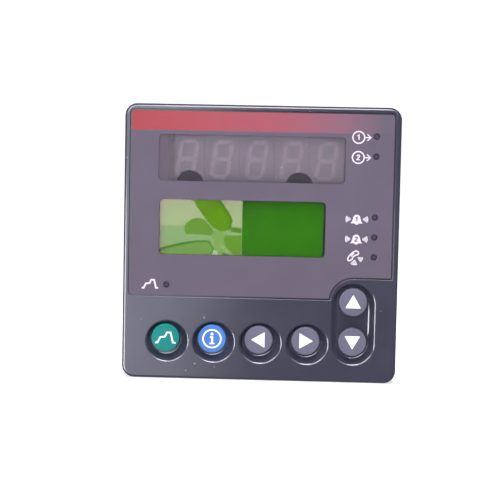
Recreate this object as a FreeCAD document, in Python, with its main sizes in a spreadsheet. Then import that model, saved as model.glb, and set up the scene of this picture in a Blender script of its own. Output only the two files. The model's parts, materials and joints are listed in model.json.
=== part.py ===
"""A panel-mount temperature controller, quarter-DIN size, as a parametric FreeCAD document.

Frame: +Z up, +X to the right as the front is read, the front faces -Y. The origin is the centre of the
panel's front face, on the gasket's back. All sizes are in millimetres and are kept in the sheet "sizes".
"""

import FreeCAD, Part

import math
import os
import re
from types import SimpleNamespace

import Sketcher

SIZES = {
    # bezel, gasket and case
    "bezel_flange": 4.6,
    "bezel_depth": 14.3,
    "bezel_corner": 4.4,
    "rim_width": 2.5,
    "rim_bevel": 1.0,
    "front_wall": 3.2,
    "gasket_thickness": 1.5,
    "gasket_inset": 0.9,
    "case_wall": 2.4,
    "case_corner": 2.5,
    "case_front_gap": 1.6,
    "case_reach": 92.5,
    "case_fit": 0.3,
    # facia and its recess
    "facia_drop": 19.4,
    "facia_corner": 1.2,
    "facia_thickness": 0.5,
    "facia_groove": 0.55,
    "facia_margin": 1.1,
    "recess_depth": 0.7,
    "recess_lip": 0.15,
    # windows
    "upper_window_width": 67.5,
    "upper_window_height": 16.8,
    "upper_window_lift": 0.35,
    "upper_window_shift": 1.65,
    "lower_window_width": 60.3,
    "lower_window_height": 20.1,
    "window_corner": 1.5,
    "lens_margin": 1.5,
    "lens_thickness": 1.5,
    "lens_gap": 0.1,
    # keys and wells
    "key_radius": 5.1,
    "key_side": 8.6,
    "key_foot": 7.6,
    "key_rise": 14.5,
    "key_proud": 0.3,
    "key_edge": 0.45,
    "key_rim": 0.8,
    "key_dish": 0.06,
    "key_gap": 0.25,
    "key_flange_width": 1.0,
    "key_flange": 1.0,
    "key_stem_radius": 2.2,
    "key_travel": 0.8,
    "well_depth": 2.2,
    "well_ring": 0.7,
    "well_slope_left": 1.0,
    "well_slope_right": 2.05,
    "well_slope_above": 0.2,
    "well_slope_below": 2.25,
    "well_floor_drop": 0.3,
    "well_gap": 1.85,
    "well_lip": 0.65,
    "well_cove": 1.0,
    "slot_well_side": 1.8,
    "slot_well_drop": 0.5,
    "slot_well_top_drop": 1.2,
    # push switches
    "switch_width": 6.2,
    "switch_height": 3.5,
    "plunger_radius": 1.7,
    "plunger_rise": 1.4,
    "plunger_hidden": 1.0,
    "plunger_gap": 0.1,
    # lamps
    "lamp_side": 1.6,
    "lamp_top": 3.1,
    "lamp_pitch": 7.2,
    "lamp_group": 29.1,
    "program_lamp_foot": 3.8,
    "lamp_radius": 1.45,
    "lamp_round": 0.85,
    "lamp_gap": 0.15,
    "lamp_sight_radius": 1.15,
    # numeric display
    "digit_count": 5,
    "digit_pitch": 12.7,
    "digit_gap": 0.1,
    "digit_height": 19.0,
    "digit_depth": 8.2,
    "glyph_width": 7.4,
    "glyph_height": 14.2,
    "glyph_stroke": 1.6,
    "glyph_slant": 8.0,
    "segment_depth": 0.8,
    "segment_gap": 0.2,
    "holder_side": 7.65,
    "holder_top": 1.75,
    "holder_wall": 1.0,
    "holder_gap": 0.1,
    "holder_tab": 0.6,
    "tab_radius": 5.0,
    "tab_left": 24.2,
    "tab_right": 15.6,
    "tab_rise": 3.8,
    # text display
    "lcd_side": 1.75,
    "lcd_drop": 0.3,
    "lcd_frame_margin": 3.85,
    "lcd_frame_rim": 3.45,
    "lcd_sheet": 0.4,
    "lcd_sight_margin": 0.6,
    "lcd_sight_corner": 1.2,
    "lcd_rim_right": 0.75,
    "lcd_rim_top": 0.35,
    "lcd_glass_gap": 0.3,
    "lcd_glass_thickness": 2.2,
    "lcd_light_thickness": 3.4,
    "lcd_board_margin": 1.0,
    "lcd_board_rim": 0.4,
    "pin_count": 10,
    "pin_pitch": 2.54,
    "pin_width": 0.64,
    "pin_gap": 0.08,
    "pin_inset": 1.8,
    # boards
    "board_thickness": 1.6,
    "board_clearance": 0.4,
    "boss_side": 3.3,
    "boss_drop": 0.35,
    "boss_radius": 2.8,
    "pilot_radius": 1.1,
    "screw_gap": 0.05,
    "screw_tip": 1.5,
    "screw_head_radius": 2.3,
    "screw_head": 1.6,
    "slide_board_count": 3,
    "slide_board_side": 9.6,
    "slide_board_pitch": 28.0,
    "slide_board_gap": 10.2,
    "slide_board_back": 4.5,
    "tongue_height": 45.0,
    "tongue_length": 5.0,
    "link_width": 6.0,
    "link_wall": 2.0,
    "link_depth": 8.0,
    "link_gap": 0.1,
    "rail_height": 2.0,
    "rail_width": 1.2,
    "rail_gap": 0.15,
    "rail_short": 2.0,
    # parts on the boards, from the boards' front edge and the case's middle
    "core_y": 34.0,
    "core_z": 12.0,
    "core_length": 30.0,
    "core_height": 36.0,
    "core_thickness": 16.0,
    "core_leg": 10.0,
    "core_window": 6.0,
    "core_window_height": 24.0,
    "winding_gap": 0.2,
    "winding_bulge": 2.0,
    "winding_corner": 2.0,
    "capacitor_radius": 6.5,
    "capacitor_rise": 18.0,
    "capacitor_edge": 0.8,
    "capacitor_y": 11.5,
    "capacitor_back": 12.0,
    "capacitor_high": 30.0,
    "capacitor_low": 12.0,
    "relay_length": 20.0,
    "relay_width": 11.0,
    "relay_rise": 15.5,
    "relay_y": 16.0,
    "relay_step": 26.0,
    "relay_pitch": 24.0,
    "chip_edge": 0.4,
    "processor_width": 20.0,
    "processor_rise": 2.4,
    "processor_y": 30.0,
    "processor_z": 14.0,
    "memory_length": 18.0,
    "memory_width": 7.6,
    "memory_rise": 2.0,
    "memory_low": 10.0,
    "memory_y": 12.0,
    "memory_step": 18.0,
    "memory_high": 24.0,
    "cell_radius": 10.0,
    "cell_thickness": 3.2,
    "cell_edge": 0.5,
    "cell_y": 46.0,
    "cell_z": 24.0,
    "cell_gap": 0.1,
    "clip_wall": 1.4,
    "clip_floor": 1.0,
    "clip_mouth": 12.0,
    # terminals
    "way_count": 12,
    "way_pitch": 5.08,
    "socket_width": 8.6,
    "socket_depth": 12.0,
    "socket_back": 2.5,
    "socket_wall": 0.9,
    "plug_gap": 0.1,
    "plug_nose": 9.0,
    "plug_head_width": 13.0,
    "plug_proud": 2.8,
    "clamp_screw_radius": 1.7,
    "clamp_screw_sink": 0.6,
    "clamp_hole_depth": 4.6,
    "clamp_offset": 3.2,
    "wire_entry": 3.2,
    "wire_entry_depth": 5.0,
    "slot_width": 0.6,
    "slot_depth": 0.7,
    # rear cover
    "cover_thickness": 2.5,
    "cover_edge": 0.6,
    "cover_lip": 2.0,
    "cover_lip_wall": 1.4,
    "cover_lip_gap": 0.15,
    "cover_lip_relief": 1.0,
    "cover_plug_gap": 0.4,
    "cover_boss_radius": 3.4,
    "cover_boss_bite": 0.3,
    "cover_boss_length": 12.0,
    # shared by all
    "root_bite": 0.1,
    "overcut": 1.0,
    "hair": 0.01,
    # case details
    "hook_width": 10.0,
    "hook_length": 2.4,
    "hook_reach": 1.2,
    "hook_place": 22.0,
    "hook_back": 3.2,
    "hook_gap": 0.2,
    "tooth_pitch": 2.5,
    "tooth_count": 24,
    "tooth_height": 0.8,
    "tooth_width": 14.0,
    "tooth_start": 18.0,
    "vent_count": 9,
    "vent_pitch": 6.0,
    "vent_width": 2.4,
    "vent_length": 22.0,
    "vent_place": 25.0,
    "vent_start": 28.0,
}

doc = FreeCAD.newDocument("controller")
sheet = doc.addObject("Spreadsheet::Sheet", "sizes")
finished = []


def fill_sheet():
    """Write each size and its name into the sheet."""
    for row, (name, number) in enumerate(SIZES.items(), start=1):
        sheet.set(f"A{row}", name)
        sheet.set(f"B{row}", str(number))
        sheet.setAlias(f"B{row}", name)
    doc.recompute()


def formula(text):
    """The same formula with each size's name pointing at its cell."""
    def with_sheet(word):
        return f"sizes.{word.group()}" if word.group() in SIZES else word.group()

    return re.sub(r"[a-z_]+", with_sheet, text)


def worth(text):
    """The number that a formula gives now."""
    return float(sheet.evalExpression(formula(text)))


def bind(thing, name, text):
    """Tie one property to a formula of the sheet's sizes."""
    thing.setExpression(name, formula(text))


# Facets of a display tab's round top.
TAB_STEPS = 16

# Sizes that follow from others, as formulas: the front's layout sets the case, and the case the bezel.
FLOOR_RADIUS = "(key_radius + key_gap + well_ring)"
FLANGE_RADIUS = "(key_radius + key_flange_width)"
WELL_WIDTH = f"(2 * {FLOOR_RADIUS} + well_slope_left + well_slope_right)"
WELL_HEIGHT = f"(2 * {FLOOR_RADIUS} + well_slope_above + well_slope_below)"
WELL_SHIFT = "((well_slope_right - well_slope_left) / 2)"
WELL_DROP = "(well_floor_drop + (well_slope_below - well_slope_above) / 2)"
SLOT_RADIUS = f"({FLOOR_RADIUS} + slot_well_side)"
KEY_PITCH = f"({WELL_WIDTH} + well_gap)"
CASE_HALF_INSIDE = f"(2 * {KEY_PITCH} + key_side)"
CASE_HALF = f"({CASE_HALF_INSIDE} + case_wall)"
CAVITY = f"(2 * ({CASE_HALF} + case_fit))"
BEZEL_HALF = f"({CASE_HALF} + case_fit + bezel_flange)"
FACIA_HALF = f"({BEZEL_HALF} - rim_width)"
KEY_ROW = f"({CASE_HALF_INSIDE} - key_foot)"

# Depths along Y that several pieces share, as formulas.
FACE = "-(gasket_thickness + bezel_depth)"
INNER = f"({FACE} + front_wall)"
RECESS = f"({FACE} + recess_depth)"
CASE_FRONT = f"({INNER} + case_front_gap)"
DIGIT_FRONT = f"({INNER} + holder_tab)"
BOARD_FRONT = f"({DIGIT_FRONT} + digit_depth)"
BOARD_REAR = f"({BOARD_FRONT} + board_thickness)"
LCD_GLASS_FRONT = f"({INNER} + lcd_sheet)"
LCD_GLASS_REAR = f"({LCD_GLASS_FRONT} + lcd_glass_thickness)"
LCD_BOARD_FRONT = f"({LCD_GLASS_REAR} + lcd_light_thickness)"
LCD_BOARD_REAR = f"({LCD_BOARD_FRONT} + board_thickness)"
KEY_TOP = f"({FACE} - key_proud)"
SWITCH_FRONT = f"({BOARD_FRONT} - switch_height)"
PLUNGER_TOP = f"({SWITCH_FRONT} - plunger_rise)"
SLIDE_FRONT = f"({BOARD_REAR} + slide_board_gap)"
COVER_REAR = "(case_reach + cover_thickness)"
SOCKET_REAR = "(case_reach - socket_back)"
SOCKET_FRONT = f"({SOCKET_REAR} - socket_depth)"
PLUG_REAR = f"({COVER_REAR} + plug_proud)"

# The displays hang from the case's upper left inside corner, one below the other.
DIGITS_WIDTH = "(digit_count * digit_pitch)"
DIGITS_X = f"(holder_side + holder_wall + holder_gap + {DIGITS_WIDTH} / 2 - {CASE_HALF_INSIDE})"
DIGITS_Z = f"({CASE_HALF_INSIDE} - holder_top - holder_wall - holder_gap - digit_height / 2)"
HOLDER_LOW = f"({DIGITS_Z} - digit_height / 2 - holder_gap - holder_wall)"
LCD_FRAME_WIDTH = "(lower_window_width + 2 * lcd_frame_margin)"
LCD_FRAME_HEIGHT = "(lower_window_height + 2 * lcd_frame_rim)"
LCD_BOARD_HEIGHT = f"({LCD_FRAME_HEIGHT} + 2 * lcd_board_rim)"
LCD_X = f"(lcd_side + {LCD_FRAME_WIDTH} / 2 - {CASE_HALF_INSIDE})"
LCD_Z = f"({HOLDER_LOW} - lcd_drop - {LCD_BOARD_HEIGHT} / 2)"
BLOCK_HEIGHT = "(way_count * way_pitch)"

# Places of the keys, lamps and screws: (x, z) as formulas.
KEYS = {
    "program": (f"-2 * {KEY_PITCH}", f"-{KEY_ROW}"),
    "info": (f"-{KEY_PITCH}", f"-{KEY_ROW}"),
    "left": ("0", f"-{KEY_ROW}"),
    "right": (KEY_PITCH, f"-{KEY_ROW}"),
    "up": (f"2 * {KEY_PITCH}", f"(key_rise - {KEY_ROW})"),
    "down": (f"2 * {KEY_PITCH}", f"-{KEY_ROW}"),
}
LAMP_X = f"({CASE_HALF_INSIDE} - lamp_side)"
LAMP_TOP = f"({CASE_HALF_INSIDE} - lamp_top)"
LAMPS = [(LAMP_X, f"{LAMP_TOP} - {step} * lamp_pitch") for step in (0, 1)]
LAMPS += [(LAMP_X, f"{LAMP_TOP} - lamp_group - {step} * lamp_pitch") for step in (0, 1, 2)]
LAMPS.append((f"-2 * {KEY_PITCH}", "program_lamp_foot - facia_drop"))
CORNERS = [(1, 1), (-1, 1), (-1, -1), (1, -1)]
BOSS_X = f"({CASE_HALF_INSIDE} - boss_side)"
BOSS_LOW = f"-({CASE_HALF_INSIDE} - boss_radius - screw_gap)"
BOSSES = [
    (f"-{BOSS_X}", BOSS_X),
    (BOSS_X, f"{HOLDER_LOW} - boss_drop - boss_radius"),
    (f"-1.5 * {KEY_PITCH}", BOSS_LOW),
    (f"1.5 * {KEY_PITCH}", BOSS_LOW),
]
CORE_Y = f"({SLIDE_FRONT} + core_y)"
CELL_Y = f"({SLIDE_FRONT} + cell_y)"
COVER_SCREW = f"({CASE_HALF_INSIDE} - cover_boss_radius + cover_boss_bite)"
COVER_SCREWS = [(f"{side} * {COVER_SCREW}", f"{rise} * {COVER_SCREW}") for side, rise in CORNERS]


# ---- sketch and feature helpers -------------------------------------------------------------


def new_body(name):
    """A PartDesign body for one sub-part."""
    body = doc.addObject("PartDesign::Body", name)
    body.Label = name
    body.AllowCompound = True
    finished.append(body)
    return body


def new_sketch(body, plane, distance="0"):
    """A sketch on one of the body's origin planes, moved along Y, or along the plane's own normal."""
    drawing = body.newObject("Sketcher::SketchObject", "Sketch")
    planes = [item for item in body.Origin.OriginFeatures if item.Role == plane]
    drawing.AttachmentSupport = [(planes[0], "")]
    drawing.MapMode = "FlatFace"
    sign = "-" if plane == "XZ_Plane" else ""
    bind(drawing, "AttachmentOffset.Base.z", f"{sign}({distance})")
    return drawing


def fix_point(drawing, geometry, position, x, y):
    """Hold one point of the sketch at (x, y), both formulas."""
    for kind, text in (("DistanceX", x), ("DistanceY", y)):
        number = worth(text)
        index = drawing.addConstraint(Sketcher.Constraint(kind, -1, 1, geometry, position, number))
        if text != "0":
            bind(drawing, f"Constraints[{index}]", text)


def add_polygon(drawing, corners):
    """A closed outline of straight lines; the corners are pairs of formulas."""
    points = [FreeCAD.Vector(worth(x), worth(y), 0) for x, y in corners]
    first = drawing.GeometryCount
    count = len(corners)
    for index in range(count):
        drawing.addGeometry(Part.LineSegment(points[index], points[(index + 1) % count]), False)
    for index in range(count):
        following = first + (index + 1) % count
        drawing.addConstraint(Sketcher.Constraint("Coincident", first + index, 2, following, 1))
        fix_point(drawing, first + index, 1, *corners[index])


def add_box(drawing, x, y, width, height):
    """A rectangle about its centre."""
    left, right = f"({x}) - ({width}) / 2", f"({x}) + ({width}) / 2"
    low, high = f"({y}) - ({height}) / 2", f"({y}) + ({height}) / 2"
    add_polygon(drawing, [(left, low), (right, low), (right, high), (left, high)])


def add_circle(drawing, x, y, radius):
    """A circle about a point."""
    centre = FreeCAD.Vector(worth(x), worth(y), 0)
    index = drawing.addGeometry(Part.Circle(centre, FreeCAD.Vector(0, 0, 1), worth(radius)), False)
    held = drawing.addConstraint(Sketcher.Constraint("Radius", index, worth(radius)))
    bind(drawing, f"Constraints[{held}]", radius)
    fix_point(drawing, index, 3, x, y)


def add_rounded_box(drawing, x, y, width, height, corner):
    """A rectangle about its centre with four round corners."""
    across = worth(f"({width}) / 2 - ({corner})")
    up = worth(f"({height}) / 2 - ({corner})")
    round_ = worth(corner)
    middle = FreeCAD.Vector(worth(x), worth(y), 0)
    first = drawing.GeometryCount
    for number, (side, rise) in enumerate(CORNERS):
        centre = middle + FreeCAD.Vector(side * across, rise * up, 0)
        circle = Part.Circle(centre, FreeCAD.Vector(0, 0, 1), round_)
        start = number * math.pi / 2
        drawing.addGeometry(Part.ArcOfCircle(circle, start, start + math.pi / 2), False)
    for number in range(4):
        arc, following = drawing.Geometry[first + number], drawing.Geometry[first + (number + 1) % 4]
        drawing.addGeometry(Part.LineSegment(arc.EndPoint, following.StartPoint), False)
    for number, (side, rise) in enumerate(CORNERS):
        line = first + 4 + number
        drawing.addConstraint(Sketcher.Constraint("Tangent", first + number, 2, line, 1))
        drawing.addConstraint(Sketcher.Constraint("Tangent", line, 2, first + (number + 1) % 4, 1))
        held = drawing.addConstraint(Sketcher.Constraint("Radius", first + number, round_))
        bind(drawing, f"Constraints[{held}]", corner)
        centre_x = f"({x}) + {side} * (({width}) / 2 - ({corner}))"
        centre_y = f"({y}) + {rise} * (({height}) / 2 - ({corner}))"
        fix_point(drawing, first + number, 3, centre_x, centre_y)


def pad(body, drawing, length, rearward=True):
    """Add the sketch's outline as a solid, towards the rear (+Y) unless told otherwise."""
    feature = body.newObject("PartDesign::Pad", "Pad")
    feature.Profile = drawing
    bind(feature, "Length", length)
    feature.Reversed = rearward
    doc.recompute()
    return feature


def pocket(body, drawing, length, rearward=True):
    """Cut the sketch's outline out of the solid, and make sure that it cuts."""
    before = body.Shape.Volume
    feature = body.newObject("PartDesign::Pocket", "Pocket")
    feature.Profile = drawing
    bind(feature, "Length", length)
    feature.Reversed = not rearward
    doc.recompute()
    if not body.Shape.Volume < before - 1e-6:
        raise RuntimeError(f"a pocket of {body.Label} cuts nothing")
    return feature


def revolve(body, drawing, axis="V_Axis"):
    """Turn the sketch's outline into a solid of revolution."""
    feature = body.newObject("PartDesign::Revolution", "Revolution")
    feature.Profile = drawing
    feature.ReferenceAxis = (drawing, [axis])
    feature.Angle = 360
    doc.recompute()
    return feature


def dress(body, kind, test, size):
    """Fillet or chamfer the edges of the body that pass a test."""
    base = body.Tip
    names = [f"Edge{number}" for number, edge in enumerate(base.Shape.Edges, start=1) if test(edge)]
    feature = body.newObject(f"PartDesign::{kind}", kind)
    feature.Base = (base, names)
    bind(feature, "Radius" if kind == "Fillet" else "Size", size)
    doc.recompute()
    return feature


def repeat(body, feature, drawing, axis, spacing, count):
    """A row of copies of one feature along an axis of its sketch."""
    pattern = body.newObject("PartDesign::LinearPattern", "Row")
    pattern.Originals = [feature]
    pattern.Direction = (drawing, [axis])
    bind(pattern, "Length", f"({spacing}) * ({count} - 1)")
    bind(pattern, "Occurrences", count)
    body.Tip = pattern
    doc.recompute()
    return pattern


def round_hole(edge):
    """Whether an edge is a whole circle."""
    return edge.Curve.TypeId == "Part::GeomCircle" and edge.isClosed()


def lies_at(edge, depth):
    """Whether the whole edge lies at one depth."""
    box = edge.BoundBox
    return abs(box.YMin - depth) < 1e-4 and abs(box.YMax - depth) < 1e-4


# ---- front --------------------------------------------------------------------------------


def scoop(body, outer, inner):
    """Cut a dished well: the mouth at the face, the smaller floor below it."""
    before = body.Shape.Volume
    feature = body.newObject("PartDesign::SubtractiveLoft", "Well")
    feature.Profile = outer
    feature.Sections = [inner]
    doc.recompute()
    if not body.Shape.Volume < before - 1e-6:
        raise RuntimeError("a well cuts nothing")


def add_ellipse(drawing, x, y, width, height):
    """An ellipse about a point, wider than it is high."""
    centre = FreeCAD.Vector(worth(x), worth(y), 0)
    across, up = worth(f"{width} / 2"), worth(f"{height} / 2")
    shape = Part.Ellipse(centre + FreeCAD.Vector(across, 0, 0), centre + FreeCAD.Vector(0, up, 0), centre)
    index = drawing.addGeometry(shape, False)
    drawing.exposeInternalGeometry(index)
    fix_point(drawing, index, 3, x, y)
    fix_point(drawing, index + 1, 1, f"({x}) + ({width}) / 2", y)
    held = drawing.addConstraint(Sketcher.Constraint("DistanceY", index, 3, index + 2, 1, up))
    bind(drawing, f"Constraints[{held}]", f"{height} / 2")


def add_slot(drawing, x, low, high, radius):
    """An upright slot with round ends about (x, low) and (x, high)."""
    middle, bottom, top, half = worth(x), worth(low), worth(high), worth(radius)
    first = drawing.GeometryCount
    normal = FreeCAD.Vector(0, 0, 1)
    upper = Part.Circle(FreeCAD.Vector(middle, top, 0), normal, half)
    lower = Part.Circle(FreeCAD.Vector(middle, bottom, 0), normal, half)
    drawing.addGeometry(Part.ArcOfCircle(upper, 0, math.pi), False)
    drawing.addGeometry(Part.ArcOfCircle(lower, math.pi, 2 * math.pi), False)
    for start, end in ((0, 1), (1, 0)):
        begin = drawing.Geometry[first + start].EndPoint
        finish = drawing.Geometry[first + end].StartPoint
        line = drawing.addGeometry(Part.LineSegment(begin, finish), False)
        drawing.addConstraint(Sketcher.Constraint("Tangent", first + start, 2, line, 1))
        drawing.addConstraint(Sketcher.Constraint("Tangent", line, 2, first + end, 1))
    for number, level in ((0, high), (1, low)):
        held = drawing.addConstraint(Sketcher.Constraint("Radius", first + number, half))
        bind(drawing, f"Constraints[{held}]", radius)
        fix_point(drawing, first + number, 3, x, level)


def make_bezel():
    """The moulded front frame: recess, windows, wells, bosses and snap hooks."""
    body = new_body("bezel")
    outline = new_sketch(body, "XZ_Plane", FACE)
    add_rounded_box(outline, "0", "0", f"2 * {BEZEL_HALF}", f"2 * {BEZEL_HALF}", "bezel_corner")
    pad(body, outline, "bezel_depth")
    dress(body, "Fillet", lambda edge: lies_at(edge, worth(FACE)), "rim_bevel")
    cavity = new_sketch(body, "XZ_Plane", INNER)
    add_box(cavity, "0", "0", CAVITY, CAVITY)
    pocket(body, cavity, "bezel_depth")
    cut_recess(body)
    cut_windows(body)
    cut_wells(body)
    cut_key_and_lamp_holes(body)
    add_bosses_and_hooks(body)


def cut_recess(body):
    """The shallow recess that the facia lies in, with its groove."""
    recess = new_sketch(body, "XZ_Plane", FACE)
    width = f"2 * {FACIA_HALF} + 2 * facia_groove"
    height = f"{FACIA_HALF} + facia_drop + 2 * facia_groove"
    middle = f"({FACIA_HALF} - facia_drop) / 2"
    add_rounded_box(recess, "0", middle, width, height, "facia_corner + facia_groove")
    pocket(body, recess, "recess_depth")
    up_x, up_z = KEYS["up"]
    reach = f"{SLOT_RADIUS} + facia_margin - facia_groove"
    round_island = new_sketch(body, "XZ_Plane", FACE)
    add_circle(round_island, up_x, up_z, reach)
    pad(body, round_island, "recess_depth")
    shelf = new_sketch(body, "XZ_Plane", FACE)
    right = f"{FACIA_HALF} + 2 * facia_groove"
    top = f"{up_z} + {reach}"
    add_polygon(shelf, [(up_x, up_z), (right, up_z), (right, top), (up_x, top)])
    pad(body, shelf, "recess_depth")
    dress(body, "Fillet", on_recess, "recess_lip")


def on_recess(edge):
    """Whether an edge lies in the front face and inside the outer bevel."""
    box = edge.BoundBox
    limit = worth(f"{BEZEL_HALF} - rim_bevel - hair")
    inside = min(box.XMin, box.ZMin) > -limit and max(box.XMax, box.ZMax) < limit
    return inside and lies_at(edge, worth(FACE))


def window(name, margin="0"):
    """The centre and size of one window, grown by a margin."""
    width = f"{name}_window_width + 2 * ({margin})"
    height = f"{name}_window_height + 2 * ({margin})"
    if name == "upper":
        return f"{DIGITS_X} - upper_window_shift", f"{DIGITS_Z} + upper_window_lift", width, height
    return LCD_X, LCD_Z, width, height


def cut_windows(body):
    """A rebate for each lens, and the opening behind it."""
    for name in ("upper", "lower"):
        rebate = new_sketch(body, "XZ_Plane", RECESS)
        add_rounded_box(rebate, *window(name, "lens_margin + lens_gap"), "window_corner")
        pocket(body, rebate, "lens_thickness")
        opening = new_sketch(body, "XZ_Plane", FACE)
        add_rounded_box(opening, *window(name), "window_corner")
        pocket(body, opening, "front_wall + overcut")


def cut_wells(body):
    """Four round wells and the long one that the up and down keys share."""
    floor = f"({FACE} + well_depth)"
    for name in ("program", "info", "left", "right"):
        x, z = KEYS[name]
        mouth = new_sketch(body, "XZ_Plane", FACE)
        add_ellipse(mouth, f"{x} + {WELL_SHIFT}", f"{z} - {WELL_DROP}", WELL_WIDTH, WELL_HEIGHT)
        bottom = new_sketch(body, "XZ_Plane", floor)
        add_circle(bottom, x, f"{z} - well_floor_drop", FLOOR_RADIUS)
        scoop(body, mouth, bottom)
    x, low = KEYS["down"]
    high = KEYS["up"][1]
    mouth = new_sketch(body, "XZ_Plane", FACE)
    add_slot(mouth, x, f"{low} - slot_well_drop", f"{high} - slot_well_top_drop", SLOT_RADIUS)
    bottom = new_sketch(body, "XZ_Plane", floor)
    add_slot(bottom, x, f"{low} - well_floor_drop", high, FLOOR_RADIUS)
    scoop(body, mouth, bottom)
    soften_wells(body)


def soften_wells(body):
    """Round the foot of the wells' walls and then their lips."""
    top = worth(f"-{KEY_ROW} + key_rise + {SLOT_RADIUS} + hair")
    half = worth(f"{BEZEL_HALF} - rim_bevel")
    recess_foot = worth("-facia_drop - 2 * facia_groove")
    slot_left = worth(f"{KEYS['up'][0]} - {SLOT_RADIUS} - hair")

    def in_wells(edge, depth):
        box = edge.BoundBox
        around_keys = box.ZMax < top and min(box.XMin, box.ZMin) > -half and box.XMax < half
        in_recess = box.ZMax > recess_foot and box.XMin < slot_left
        return lies_at(edge, depth) and around_keys and not in_recess

    dress(body, "Fillet", lambda edge: in_wells(edge, worth(f"{FACE} + well_depth")), "well_cove")
    dress(body, "Fillet", lambda edge: in_wells(edge, worth(FACE)), "well_lip")


def cut_key_and_lamp_holes(body):
    """Round holes for the keys and for the lamps."""
    holes = new_sketch(body, "XZ_Plane", FACE)
    for x, z in KEYS.values():
        add_circle(holes, x, z, "key_radius + key_gap")
    for x, z in LAMPS:
        add_circle(holes, x, z, "lamp_radius + lamp_gap")
    pocket(body, holes, "front_wall + overcut")


def add_bosses_and_hooks(body):
    """Screw bosses for the display board, and four hooks that snap into the case."""
    bosses = new_sketch(body, "XZ_Plane", INNER)
    for x, z in BOSSES:
        add_circle(bosses, x, z, "boss_radius")
        add_circle(bosses, x, z, "pilot_radius")
    pad(body, bosses, f"{BOARD_FRONT} - {INNER}")
    hooks = new_sketch(body, "XZ_Plane", "-(gasket_thickness + hook_back + hook_length)")
    height = "(hook_reach + case_fit + root_bite)"
    for side, rise in CORNERS:
        level = f"{rise} * ({CASE_HALF} + case_fit + root_bite - {height} / 2)"
        add_box(hooks, f"{side} * hook_place", level, "hook_width", height)
    pad(body, hooks, "hook_length")


def make_facia():
    """The printed facia, with openings for the windows and lamps and a corner cut round the long well."""
    body = new_body("front_overlay")
    front = f"{RECESS} - facia_thickness"
    outline = new_sketch(body, "XZ_Plane", front)
    middle = f"({FACIA_HALF} - facia_drop) / 2"
    add_rounded_box(outline, "0", middle, f"2 * {FACIA_HALF}", f"{FACIA_HALF} + facia_drop", "facia_corner")
    pad(body, outline, "facia_thickness")
    up_x, up_z = KEYS["up"]
    reach = f"({SLOT_RADIUS} + facia_margin)"
    round_cut = new_sketch(body, "XZ_Plane", front)
    add_circle(round_cut, up_x, up_z, reach)
    pocket(body, round_cut, "facia_thickness")
    square_cut = new_sketch(body, "XZ_Plane", front)
    right = f"{FACIA_HALF} + facia_margin"
    low, high = f"{up_z} - {reach}", f"{up_z} + {reach}"
    add_polygon(square_cut, [(up_x, low), (right, low), (right, high), (up_x, high)])
    pocket(body, square_cut, "facia_thickness")
    for name in ("upper", "lower"):
        opening = new_sketch(body, "XZ_Plane", front)
        add_rounded_box(opening, *window(name), "window_corner")
        pocket(body, opening, "facia_thickness")
    sights = new_sketch(body, "XZ_Plane", front)
    for x, z in LAMPS:
        add_circle(sights, x, z, "lamp_sight_radius")
    pocket(body, sights, "facia_thickness")


def make_lens(label, name):
    """One window, let into the bezel behind the facia."""
    body = new_body(label)
    outline = new_sketch(body, "XZ_Plane", RECESS)
    add_rounded_box(outline, *window(name, "lens_margin"), "window_corner")
    pad(body, outline, "lens_thickness")


def make_gasket():
    """The flat seal between bezel and panel."""
    body = new_body("panel_gasket")
    ring = new_sketch(body, "XZ_Plane", "-gasket_thickness")
    outer = f"2 * ({BEZEL_HALF} - gasket_inset)"
    add_rounded_box(ring, "0", "0", outer, outer, "bezel_corner - gasket_inset")
    add_rounded_box(ring, "0", "0", CAVITY, CAVITY, "case_corner")
    pad(body, ring, "gasket_thickness")


def make_key(name, place):
    """A turned key: round head with a shallow dish, retaining flange and stem."""
    body = new_body(f"key_{name}")
    profile = new_sketch(body, "XY_Plane")
    flange_rear = f"({INNER} + key_flange)"
    dish = f"({KEY_TOP} + key_dish)"
    corners = [
        ("0", dish),
        ("key_radius - key_rim", dish),
        ("key_radius - key_rim + key_dish", KEY_TOP),
        ("key_radius", KEY_TOP),
        ("key_radius", INNER),
        (FLANGE_RADIUS, INNER),
        (FLANGE_RADIUS, flange_rear),
        ("key_stem_radius", flange_rear),
        ("key_stem_radius", PLUNGER_TOP),
        ("0", PLUNGER_TOP),
    ]
    add_polygon(profile, corners)
    revolve(body, profile)
    widest = worth("2 * key_radius - key_rim")

    def outer(edge):
        return lies_at(edge, worth(KEY_TOP)) and edge.BoundBox.XLength > widest

    dress(body, "Fillet", outer, "key_edge")
    put(body, place)


def put(body, place):
    """Set a sub-part at its place on the front."""
    bind(body, "Placement.Base.x", place[0])
    bind(body, "Placement.Base.z", place[1])


def make_plunger(name, place):
    """The push switch's moving plunger, under the key's stem."""
    body = new_body(f"plunger_{name}")
    profile = new_sketch(body, "XY_Plane")
    shoulder = f"({SWITCH_FRONT} + plunger_hidden)"
    corners = [
        ("0", PLUNGER_TOP),
        ("plunger_radius", PLUNGER_TOP),
        ("plunger_radius", shoulder),
        ("0", shoulder),
    ]
    add_polygon(profile, corners)
    revolve(body, profile)
    put(body, place)


def make_switches():
    """The six switch bodies, each with a bore for its plunger."""
    body = new_body("key_switches")
    outline = new_sketch(body, "XZ_Plane", SWITCH_FRONT)
    for x, z in KEYS.values():
        add_box(outline, x, z, "switch_width", "switch_width")
    pad(body, outline, "switch_height")
    bores = new_sketch(body, "XZ_Plane", SWITCH_FRONT)
    for x, z in KEYS.values():
        add_circle(bores, x, z, "plunger_radius + plunger_gap")
    pocket(body, bores, "plunger_hidden + key_travel + plunger_gap")


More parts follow.
